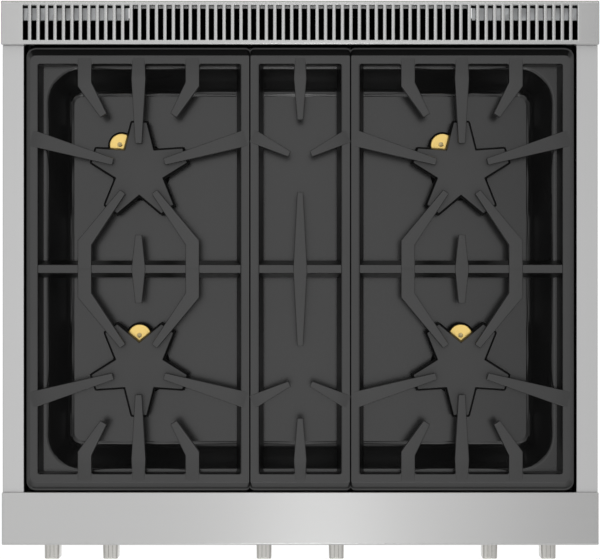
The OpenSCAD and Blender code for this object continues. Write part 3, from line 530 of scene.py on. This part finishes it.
def crossbar(barX):
    # a wedge that is widest at its foot, with a rounded top, from bar to bar
    g = grate
    halfX, top = barX + g["crossRoot"], cooktop["top"] - g["crossDrop"]
    profile = [(-g["crossHalf"], top - g["crossH"]), (-0.3, top - 1.2), (0.1, top - 0.5), (0.35, top - 0.12),
               (0.8, top), (1.4, top)]
    return shell(carry(rectangle((-halfX, -g["crossHalf"]), (halfX, g["crossHalf"])), 0.6, profile, 2))


def polar(radius, degrees, centreY, t, s):
    # a point on a ring round the burner, mirrored by the signs t and s
    return (t * radius * np.cos(radians(degrees)), s * (centreY + radius * np.sin(radians(degrees))))


wide = {"shortX": 68.6, "endBend": 20, "shortBend": 27, "shortAt": 57.3, "sideY": 40.8, "sideAt": 18,
        "loopBend": 33.5, "loopAt": -54}


def wideGrate():
    # a frame, a crossbar and fingers on each side of it that end on rings round the burners; the burners
    # stand at x = 0, in the middle of the opening
    g, w, by = grate, wide, cooktop["burnerY"]
    lowX, highX = g["inX"] - cooktop["burnerX"], g["outX"] - cooktop["burnerX"]
    barX, barY = highX - g["sideBevel"] - g["bar"][0], g["halfY"] - g["endSlope"] - g["endBar"]
    full, tip = g["fingerW"], g["tipW"]
    root, middle = barY + g["endRoot"], by - g["shortRing"]
    parts = [grateFrame(lowX, highX, g["gapBevel"], g["sideBevel"], g["gapR"], g["outerR"], g["gapBar"],
                        g["bar"]),
             crossbar(barX),
             limb([(0, -middle), (0, 0), (0, middle)], [tip, full, tip])]
    for s in (1, -1):
        path = [(0, s * root), (0, s * (barY - w["endBend"])), polar(g["longRing"], 90, by, 1, s)]
        parts.append(finger(path, [full - 2.0, full + 0.6, tip]))
        parts.append(gusset((0, s * barY), (0, -s), full - 1.6))
        for t in (1, -1):
            x, end = t * w["shortX"], polar(g["shortRing"], w["shortAt"], by, t, s)
            path = [(x, s * root), (x, s * (barY - w["shortBend"])), end]
            parts.append(finger(path, [full, full, tip + 1]))
            parts.append(gusset((x, s * barY), (0, -s), full))
            path = [(t * (barX + g["sideRoot"]), s * (by + w["sideY"])),
                    polar(g["longRing"], w["sideAt"], by, t, s)]
            parts.append(finger(path, [full + 3.4, tip]))
            path = [(x, -s), (x, s * w["loopBend"]), polar(g["longRing"], w["loopAt"], by, t, s)]
            parts.append(limb(path, [full - 0.2, full - 0.2, tip]))
    return parts


narrow = {"endBend": 19, "endTip": 64.2, "middleTip": 28, "sideY": 43.4, "sideTip": (13.6, 20.3),
          "ramp": 16.0}


def centreGrate():
    # a frame, a crossbar, one long finger along the middle, and a long and two short ones at each end
    g, n, by, half = grate, narrow, cooktop["burnerY"], grate["centreX"]
    barX, barY = half - g["gapBevel"] - g["centreBar"][0], g["halfY"] - g["endSlope"] - g["endBar"]
    full, tip, middle = g["fingerW"], g["tipW"] - 1, by - n["middleTip"]
    parts = [grateFrame(-half, half, g["gapBevel"], g["gapBevel"], g["gapR"], g["gapR"], g["centreBar"],
                        g["centreBar"]),
             crossbar(barX),
             limb([(0, -middle), (0, 0), (0, middle)], [tip, full, tip])]
    for s in (1, -1):
        path = [(0, s * (barY + g["endRoot"])), (0, s * (barY - n["endBend"])), (0, s * (by + n["endTip"]))]
        parts.append(finger(path, [full - 4.6, full - 1.4, tip], n["ramp"]))
        parts.append(gusset((0, s * barY), (0, -s), full - 3.8))
        for t in (1, -1):
            path = [(t * (barX + g["sideRoot"]), s * (by + n["sideY"])),
                    (t * n["sideTip"][0], s * (by + n["sideTip"][1]))]
            parts.append(finger(path, [full, tip], n["ramp"]))
    return parts


print("gas range: grates")
right = moved(wideGrate(), (cooktop["burnerX"], midY + grate["shiftY"], 0))
addPiece("grateRight", right, grateIron, "grate_right", ["grate_right"])
addPiece("grateLeft", mirrored(right), grateIron, "grate_left", ["grate_left"])
centre = moved(centreGrate(), (0, midY + grate["shiftY"], 0))
addPiece("grateCentre", centre, grateIron, "grate_centre", ["grate_centre"])

star = {"top": capHigh[2], "tip": 63.6, "notch": 34.5, "tipW": 22.6, "tipR": 3.6, "notchR": 1.0, "thick": 9.0,
        "edge": 0.9, "draft": 2.3, "spigotR": 18.0, "spigotL": 9}


def starCap(turn):
    # five blunt arms: each has two tip corners, with a notch between neighbours
    s, top = star, star["top"]
    arms = np.radians(90 + turn + 72 * np.arange(5))
    out = np.stack([np.cos(arms), np.sin(arms)], 1)
    side = np.stack([-out[:, 1], out[:, 0]], 1) * s["tipW"] / 2
    between = np.radians(126 + turn + 72 * np.arange(5))
    notch = np.stack([np.cos(between), np.sin(between)], 1) * s["notch"]
    corners = np.stack([out * s["tip"] - side, out * s["tip"] + side, notch], 1).reshape(-1, 2)
    wall = [(0.5, top - s["thick"]), (0.0, top - s["thick"] + 1.2), (0.3, top - 4.6)]
    rim = roundedWall(0, top, s["edge"], 0, s["draft"])[1:]
    plate = shell(carry(corners, np.tile([s["tipR"], s["tipR"], s["notchR"]], 5), wall + rim.tolist()))
    spigot = [(s["spigotR"], top - s["thick"] - s["spigotL"]), (s["spigotR"], top - s["thick"] + 1)]
    return [plate, shell(lathe(spigot, 40))]


print("gas range: burners")
for across, sideName in ((-1, "left"), (1, "right")):
    for along, endName in ((-1, "front"), (1, "rear")):
        place = (across * cooktop["burnerX"], midY + along * cooktop["burnerY"], 0)
        node, name = f"burner_cap_{endName}_{sideName}", f"starCap{endName.title()}{sideName.title()}"
        parts = moved(starCap(0 if along > 0 else 180), place)
        addPiece(name, parts, capIron, bodyOf[node], [node])

cup = {"r": 15.4, "top": 874.0, "reach": 39.6, "bore": 0.8, "depth": 7, "tipR": 3.0, "rearAt": 126,
       "frontAt": 90, "rearTip": (-2.2, 1.4), "frontTip": (-0.2, 1.3)}


def cupPlaces():
    # each cup stands in a notch of its star, with its electrode a little off its middle
    for across in (-1, 1):
        for along in (-1, 1):
            turn = radians(cup["rearAt"] if along > 0 else cup["frontAt"])
            place = np.array([across * cooktop["burnerX"] + cup["reach"] * np.cos(turn),
                              midY + along * cooktop["burnerY"] + cup["reach"] * np.sin(turn), 0])
            tip = cup["rearTip"] if along > 0 else cup["frontTip"]
            yield place, place + [*tip, 0]


heads = {"share": 0.965, "holder": 2.8, "boreKept": 20.0, "edge": 0.3}


def drawHeadsIn(mesh):
    # each point moves a little towards its own burner's centre, further in under the cap; the holders round
    # the cups and the bore for the cap's spigot stay
    points = np.empty(len(mesh.vertices) * 3)
    mesh.vertices.foreach_get("co", points)
    points = points.reshape(-1, 3)
    flat = points[:, :2] / mm - (0, midY)
    centres = np.sign(flat) * (cooktop["burnerX"], cooktop["burnerY"])
    away = np.min([np.hypot(*(flat + (0, midY) - place[:2]).T) for place, tipPlace in cupPlaces()], axis=0)
    kept = (away < cup["r"] + heads["holder"]) | (np.hypot(*(flat - centres).T) < heads["boreKept"])
    share = np.where(kept, 1.0, heads["share"])[:, None]
    points[:, :2] = (centres + (flat - centres) * share + (0, midY)) * mm
    mesh.vertices.foreach_set("co", points.ravel())
    mesh.update()


drawHeadsIn(soften("burner_heads", heads["edge"]).data)

r, bore, tipR, top, foot = cup["r"], cup["bore"], cup["tipR"], cup["top"], cup["top"] - cup["depth"]
cupProfile = [(bore, foot), (bore, top - 1.0), (bore + 0.4, top - 0.5), (bore + 1.0, top - 0.35),
              (r - 3.2, top - 0.2), (r - 1.4, top), (r - 0.6, top - 0.3), (r - 0.1, top - 1.0),
              (r, top - 1.8), (r, foot)]
electrodeProfile = [(0.02, foot), (tipR, foot), (tipR, top + 0.9), (tipR - 0.4, top + 1.5),
                    (tipR - 1.2, top + 1.7), (1.3, top + 1.8), (1.25, top + 2.9), (0.9, top + 3.2),
                    (0.02, top + 3.3)]
brassParts, ceramicParts = [], []
for place, tipPlace in cupPlaces():
    brassParts += moved([shell(lathe(cupProfile[::-1], 48)[:, ::-1], closed=True)], place)
    ceramicParts += moved([shell(lathe(electrodeProfile, 32))], tipPlace)
addPiece("igniterCups", brassParts, brassCup, "root", ["igniter_cups"])
addPiece("igniterElectrodes", ceramicParts, ceramic, "root", ["igniter_electrodes"])

ventLow, ventHigh = extent("vent_trim")
trimLow, trimHigh = extent("side_trim_right")
ledgeLow, ledgeHigh = extent("landing_ledge")
bayX, bayY = trimLow[0] - 0.2, ventLow[1] - midY - 0.2
pan = {"bayX": bayX, "bayY": bayY, "wellX": bayX - 29.9, "wellY": bayY - 29.4, "run": 26.7, "drop": 40.0,
       "sideShare": 0.91, "bayR": 3.0, "rimR": 41.0, "floorR": 12.0, "thick": 0.9,
       "flange": cooktop["flange"], "sideTop": trimHigh[2] - 2.5, "rearTop": ventHigh[2] - 2.0}


def spillPan():
    # rings from the upstand at the bay's wall over the flange and rim, down the wall and its fillet, to
    # the floor
    p, z = pan, pan["flange"]
    rows = [(p["bayX"], p["bayY"], p["bayR"], p["sideTop"])]
    for inset, rise in ((0.0, 3), (0.5, 1.0), (2.0, 0.1), (3.5, 0)):
        rows.append((p["bayX"] - inset, p["bayY"] - inset, p["bayR"], z + rise))
    for out, fall in ((5.0, 0.0), (3.4, 0.08), (2.0, 0.5), (0.8, 1.4), (-0.3, 2.7)):
        rows.append((p["wellX"] + out, p["wellY"] + out, p["rimR"] + out, z - fall))
    for share, radius in ((0.35, 31.0), (0.7, 21.0)):
        inset = p["run"] * share
        rows.append((p["wellX"] - inset * p["sideShare"], p["wellY"] - inset, radius, z - p["drop"] * share))
    for inset, rise in ((20.8, 8.6), (22.9, 5.9), (25.2, 3.6), (27.4, 1.9), (29.3, 0.95), (30.8, 0.62),
                        (31.6, 0.55), (32.2, 0.12), (32.8, 0.0)):
        rows.append((p["wellX"] - inset * p["sideShare"], p["wellY"] - inset, p["floorR"] + 32 - inset,
                     z - p["drop"] + rise))
    grid = np.stack([ring((-x, -y), (x, y), [max(radius, 1.0)] * 4, h, 8) for x, y, radius, h in rows])
    atRear = grid[0, :, 1] > p["bayY"] - 0.01
    grid[0, atRear, 2] = p["rearTop"]
    return [shell(grid, capFirst=False)]


addPiece("spillPan", moved(spillPan(), (0, midY, 0)), panEnamel, "root", ["spill_pan"],
         pan["thick"])

flueHigh = extent("flue_box")[1]
vent = {"low": ventLow[1], "high": ventHigh[1], "halfX": ventHigh[0], "top": ventHigh[2],
        "deep": ventHigh[2] - flueHigh[2], "count": 66, "pitch": 10.74, "slotW": 6.5, "slotL": 44.6,
        "slotR": 0.35, "margin": 2.0, "rearR": 2.8, "edge": 0.8, "lip": 0.45, "frontWall": 1.5}


def slotRing(halfX, halfY, radius, z, centreY=0.0):
    # rounded rectangle about the line x = 0
    return ring((-halfX, centreY - halfY), (halfX, centreY + halfY), [radius] * 4, z, 2)


def openShell(rings):
    return shell(np.stack(rings), capFirst=False, capLast=False)


def ventTrim():
    # one cell per slot: outer rectangle, lip and wall share their point count, and the cells meet edge to
    # edge; a frame closes round the row of cells, and the underside mirrors both
    v, sharp = vent, 0.001
    midV, z, foot = (v["low"] + v["high"]) / 2, v["top"], v["top"] - v["deep"]
    slotX, slotY = v["slotW"] / 2, v["slotL"] / 2
    cellX, cellY = v["pitch"] / 2, slotY + v["margin"]
    gridX = v["count"] * cellX
    centres = (np.arange(v["count"]) - (v["count"] - 1) / 2) * v["pitch"]
    rows = [slotRing(cellX, cellY, sharp, z)]
    for out, fall in ((v["lip"], 0.0), (v["lip"] * 0.3, v["lip"] * 0.3), (0.0, v["lip"]), (0.0, v["deep"])):
        rows.append(slotRing(slotX + out, slotY + out, v["slotR"] + out, z - fall))
    upper = [openShell(rows)]
    lower = [openShell([slotRing(slotX, slotY, v["slotR"], foot), slotRing(cellX, cellY, sharp, foot)])]
    rows = [slotRing(gridX, cellY, sharp, z, midV)]
    for inset, rearInset, fall in ((v["edge"], v["rearR"], 0.0), (0.23, 1.6, 0.25), (0.0, 0.8, 0.8),
                                   (0.0, 0.2, 1.6), (0.0, 0.0, 2.8), (0.0, 0.0, v["deep"])):
        rows.append(ring((-v["halfX"] + inset, v["low"] + inset), (v["halfX"] - inset, v["high"] - rearInset),
                         [v["edge"]] * 4, z - fall, 2))
    outline = ring((-v["halfX"], v["low"]), (v["halfX"], v["high"]), [v["edge"]] * 4, foot, 2)
    parts = [cell for x in centres for cell in moved(upper, (x, midV, 0))]
    parts += [openShell(rows[::-1]), openShell([slotRing(gridX, cellY, sharp, foot, midV), outline])]
    parts += [cell for x in centres for cell in moved(lower, (x, midV, 0))]
    frontWall = rectangle((-pan["bayX"], v["low"]), (pan["bayX"], v["low"] + v["frontWall"]))
    parts.append(shell(carry(frontWall, 0.3, roundedWall(pan["flange"] + 0.5, foot + 0.2, 0.3), 2)))
    return parts


def openTray(low, high):
    # open-topped box seen from inside
    v = np.array([(x, y, z) for z in (low[2], high[2]) for x, y in rectangle(low, high)], float)
    return v, [[0, 1, 2, 3]] + [[i, i + 4, (i + 1) % 4 + 4, (i + 1) % 4] for i in range(4)]


def sheet(low, high, z):
    # flat strip, 1 mm thick, whose top is at z: the flue's metal lip, and the black strips of painted shadow
    edge = 0.3
    return shell(carry(rectangle(low, high), edge, roundedWall(z - 1.0, z, edge / 2, 0.1), 2))


# sizes of the black trays of painted shade in the vent, of the black strips of painted shadow at its rear,
# and of the flue's lip
insideVent = {"flueX": flueHigh[0] - 2.2, "flueFront": ventLow[1] + 4.5, "flueRear": flueHigh[1] - 2.4,
          "flueDrop": 250.0, "top": flueHigh[2], "wall": 2.4, "lip": 3.4, "sideX": trimHigh[0] - 3,
          "sideFront": ventLow[1] + 1, "sideRear": extent("back_panel")[0][1] - 0.6, "sideDrop": 38.0,
          "shadowStrip": (ventHigh[1] - 8.2, ventHigh[1] - 3.6)}


def ventInside():
    # black trays of painted shade inside the flue and the spaces beside it, black strips of painted shadow at
    # the rear of the side slots, and the flue's bright rear lip
    n, top, brim = insideVent, insideVent["top"], insideVent["top"] - 0.6
    black = [openTray((-n["flueX"], n["flueFront"], top - n["flueDrop"]), (n["flueX"], n["flueRear"], brim))]
    for low, high in ((-n["sideX"], -n["flueX"] - n["wall"]), (n["flueX"] + n["wall"], n["sideX"])):
        black.append(openTray((low, n["sideFront"], top - n["sideDrop"]), (high, n["sideRear"], brim)))
        # painted shadow: a black strip on the shelf, where the vent's rear wall shades it
        black.append(sheet((low, n["shadowStrip"][0]), (high, n["shadowStrip"][1]), top + 0.5))
    lip = sheet((-n["flueX"], n["flueRear"] - n["lip"]), (n["flueX"], n["flueRear"] - 0.2), top - 0.2)
    return black, [lip]


print("gas range: trim")
blackParts, lipParts = ventInside()
# black trays and strips of painted shade and painted shadow inside the vent
addPiece("ventPaintedShade", blackParts, paintedShade, "root")
addPiece("flueLip", lipParts, aluminised, "root")
addPiece("ventTrim", ventTrim(), stainlessTop, "root", ["vent_trim"])

panelRear = extent("side_panel_right")[1][1]
collar = {"x": flueHigh[0] + 0.1, "wide": 9.0, "low": 642.0, "top": flueHigh[2] - 0.3, "thick": 1.0}


def flueCollar():
    # angle strips that close the gap between the flue and the back panel
    c = collar
    outer, base = c["x"] + c["wide"], c["low"] - c["wide"]
    strips = [((-outer, base), (-c["x"], c["top"])), ((c["x"], base), (outer, c["top"])),
              ((-c["x"], base), (c["x"], c["low"] - 0.2))]
    profile = roundedWall(panelRear, panelRear + c["thick"], 0.4)
    parts = []
    for low, high in strips:
        grid = carry(rectangle((-high[0], low[1]), (-low[0], high[1])), 0.5, profile, 2)
        parts.append(shell(facingRear(grid)))
    return parts


addPiece("flueCollar", flueCollar(), galvanised, "root")

ledge = {"front": ledgeLow[1], "rear": ledgeHigh[1], "low": ledgeLow[2], "top": ledgeHigh[2],
         "halfX": ledgeHigh[0], "radii": [1.5, 0.8, 0.6, 2.6]}


def landingLedge():
    # its cross-section, carried from side to side; radii run from the front foot round to the front top
    low, high = -ledge["halfX"], ledge["halfX"]
    profile = [(0.9, low), (0.25, low + 0.25), (0.0, low + 0.9), (0.0, high - 0.9), (0.25, high - 0.25),
               (0.9, high)]
    outline = rectangle((ledge["front"], ledge["low"]), (ledge["rear"], ledge["top"]))
    return [shell(alongX(carry(outline, ledge["radii"], profile, 8)))]


addPiece("landingLedge", landingLedge(), stainlessTop, "root", ["landing_ledge"])

trim = {"inX": trimLow[0], "outX": trimHigh[0] + 0.5, "top": trimHigh[2], "low": trimLow[2] + 0.5,
        "front": ledgeHigh[1], "rear": ventLow[1], "radii": [0.3, 1.0, 1.0, 0.6], "end": 0.3}


def sideTrim():
    # its cross-section, carried from the ledge to the vent trim
    t, end = trim, trim["end"]
    profile = [(end, t["front"]), (0.0, t["front"] + end), (0.0, t["rear"] - end), (end, t["rear"])]
    outline = rectangle((t["low"], t["inX"]), (t["top"], t["outX"]))
    return [shell(alongY(carry(outline, t["radii"], profile)))]


rightTrim = sideTrim()
addPiece("sideTrimRight", rightTrim, stainlessSide, "root", ["side_trim_right"])
addPiece("sideTrimLeft", mirrored(rightTrim), stainlessSide, "root", ["side_trim_left"])

# sheet metal nodes and the radius of their edges
softEdges = {"back_panel": 0.4, "kick_panel": 0.5, "control_panel": 0.8, "door_outer_panel": 1.0,
             "door_inner_panel": 0.5, "door_handle_posts": 2.0}
for name in ("side_panel_left", "side_panel_right"):
    soften(name, 0.5, stainlessSide)
for name, width in softEdges.items():
    soften(name, width)

knobBoxes = [extent(f"knob_{number}") for number in range(1, 7)]
knobLow, knobHigh = knobBoxes[0]
faceY = extent("control_panel")[0][1]
knob = {"x": [(low[0] + high[0]) / 2 for low, high in knobBoxes], "z": (knobLow[2] + knobHigh[2]) / 2,
        "back": knobHigh[1], "tip": knobLow[1], "skirtT": 8.0, "r": 29.0, "gripW": 19.6, "gripL": 54.0,
        "grooveW": 4.8, "grooveD": 2.4, "draft": 0.35, "bezelR": 32.0, "bezelBore": 6.2}


def knobParts(x):
    # a turned skirt, and a long grip with a groove at its upper end that shows where it points
    k, r, skirt = knob, knob["r"], knob["skirtT"]
    turned = lathe([(r - 1.2, 0), (r, 0.9), (r, skirt - 2.4), (r - 0.5, skirt - 1.2), (r - 1.6, skirt - 0.3),
                    (r - 3.0, skirt)], 72)
    w, h, gw = k["gripW"] / 2, k["gripL"] / 2, k["grooveW"] / 2
    low = h - k["grooveD"]
    corners = [(-w, -h), (w, -h), (w, h), (gw, h), (gw, low), (-gw, low), (-gw, h), (-w, h)]
    radii = [4.5, 4.5, 3.4, 0.6, 0.5, 0.5, 0.6, 3.4]
    grip = carry(corners, radii, roundedWall(skirt - 1, k["back"] - k["tip"], 1.6, 0.0, k["draft"], 5), 5)
    return moved([shell(facingFront(turned)), shell(facingFront(grip))], (x, k["back"], k["z"]))


print("gas range: knobs")
r, bore = knob["bezelR"], knob["bezelBore"]
bezel = lathe([(bore, 0.0), (r, 0.0), (r, 1.6), (r - 0.6, 2.6), (r - 1.6, 3.0), (r - 2.6, 2.8),
               (r - 3.4, 2.4), (bore, 2.4)], 72)
bezelParts = []
for number, x in enumerate(knob["x"], 1):
    addPiece(f"knobBody{number}", knobParts(x), knobSteel, f"knob_{number}", [f"knob_{number}"])
    bezelParts += moved([shell(facingFront(bezel), closed=True)], (x, faceY, knob["z"]))
addPiece("knobBezels", bezelParts, knobSteel, "root", ["knob_bezels"])

dial = {"count": 9, "sweep": 270.0, "inner": 36.0, "outer": 41.0, "offOuter": 43.5, "width": 0.9,
        "proud": 0.12, "sunk": 0.3}


def dialMark(turn):
    # a thin strip that points at the knob's middle; the first mark, for off, is longer
    far, w = dial["offOuter"] if turn > radians(89) else dial["outer"], dial["width"] / 2
    out, side = np.array([np.cos(turn), np.sin(turn)]), np.array([-np.sin(turn), np.cos(turn)])
    corners = [out * dial["inner"] - side * w, out * far - side * w, out * far + side * w,
               out * dial["inner"] + side * w]
    return shell(facingFront(carry(corners, 0.2, [(0.0, -dial["sunk"]), (0.0, dial["proud"])], 1)))


marks = [dialMark(turn) for turn in np.radians(90 - np.linspace(0, dial["sweep"], dial["count"]))]
markParts = [part for x in knob["x"] for part in moved(marks, (x, faceY, knob["z"]))]
addPiece("dialMarks", markParts, plastic, "root")

screw = {"x": 366.0, "z": (125.0, 320.0, 520.0, 700.0, 840.0), "lowX": (-230.0, 0.0, 230.0), "lowZ": 112.0,
         "profile": [(4.2, -0.4), (4.2, 0.8), (3.6, 1.5), (2.3, 1.95), (0.9, 2.1), (0.05, 2.1)]}
screwPlaces = [(side * screw["x"], z) for side in (-1, 1) for z in screw["z"]]
screwPlaces += [(x, screw["lowZ"]) for x in screw["lowX"]]
head = [shell(facingRear(lathe(screw["profile"], 24)))]
screwParts = [part for x, z in screwPlaces for part in moved(head, (x, panelRear, z))]
addPiece("backScrews", screwParts, footSteel, "root")

barLow, barHigh = extent("door_handle_bar")
handle = {"y": (barLow[1] + barHigh[1]) / 2, "z": (barLow[2] + barHigh[2]) / 2,
          "r": (barHigh[2] - barLow[2]) / 2, "half": barHigh[0]}
end = [(handle["r"] - 4, 0), (handle["r"] - 1.6, 0.4), (handle["r"] - 0.5, 1.4), (handle["r"], 3.0)]
profile = [(r, -handle["half"] + h) for r, h in end] + [(r, handle["half"] - h) for r, h in end[::-1]]
bar = alongX(lathe(profile, 48)) + (0, handle["y"], handle["z"])
addPiece("doorHandle", [shell(bar)], knobSteel, "door", ["door_handle_bar"])

print("gas range: camera and light")
shot = {"place": (-0.00025, 0.0029, cadHigh[2] + 5.1), "lens": 240.95, "sensor": 36.0, "clipEnd": 60}
camera = bpy.data.objects.new("camera", bpy.data.cameras.new("camera"))
bpy.context.scene.collection.objects.link(camera)
camera.location = shot["place"]
camera.data.lens, camera.data.clip_end = shot["lens"], shot["clipEnd"]
camera.data.sensor_width, camera.data.sensor_fit = shot["sensor"], "HORIZONTAL"
bpy.context.scene.camera = camera

room = {"half": 30, "ground": 0.80, "glow": 1.15, "glowShare": 0.82, "world": 0.70}
floorMesh = bpy.data.meshes.new("floor")
corners = rectangle((-room["half"], -room["half"]), (room["half"], room["half"]))
floorMesh.from_pydata([(x, y, 0) for x, y in corners], [], [(0, 1, 2, 3)])
floor = bpy.data.objects.new("floor", floorMesh)
bpy.context.scene.collection.objects.link(floor)
# seen by the camera, or in metal and glass, the floor glows nearly white and still keeps its shadow
ground = Finish("ground", (room["ground"],) * 3, 0.9)
rays = ("Is Camera Ray", "Is Glossy Ray", "Is Transmission Ray")
seen = sum(ground.node("ShaderNodeLightPath", output=ray) for ray in rays)
glow = ground.node("ShaderNodeEmission", {}, {"Color": (1, 1, 1, 1), "Strength": room["glow"]})
plain = Value(ground, ground.shader.outputs[0])
both = ground.node("ShaderNodeMixShader", {}, {0: seen * room["glowShare"], 1: plain, 2: glow})
ground.tree.links.new(both.socket, ground.tree.nodes["Material Output"].inputs["Surface"])
floorMesh.materials.append(ground.material)

world = bpy.data.worlds.new("world")
world.use_nodes = True
bpy.context.scene.world = world
background = world.node_tree.nodes["Background"]
background.inputs["Color"].default_value = (1, 1, 1, 1)
background.inputs["Strength"].default_value = room["world"]


def panel(name, size, place, aim, strength):
    # soft box: strength is the brightness that its face shows
    light = bpy.data.objects.new(name, bpy.data.lights.new(name, "AREA"))
    bpy.context.scene.collection.objects.link(light)
    light.data.shape, light.data.size, light.data.size_y = "RECTANGLE", *size
    light.data.energy = strength * pi * size[0] * size[1]
    light.location = place
    direction = Vector(aim) - Vector(place)
    light.rotation_mode = "QUATERNION"
    light.rotation_quaternion = direction.to_track_quat("-Z", "Y")
    light.visible_camera = False


panel("skyPanel", (2.0, 2.6), (-0.3, 0, 8.2), (-0.3, 0, 0), 0.66)
panel("frontPanel", (5.0, 3.6), (-0.8, -4.6, 4.2), (0, 0, 0.9), 0.5)
panel("stripPanel", (0.2, 2.4), (0, -3.2, 6.5), (0, 0, 0.9), 6.2)
panel("rearPanel", (3.8, 2.0), (0, 3.9, 7.0), (0, 0, 0.8), 1.1)

bpy.context.scene.view_settings.view_transform = "Standard"

print("gas range: done")
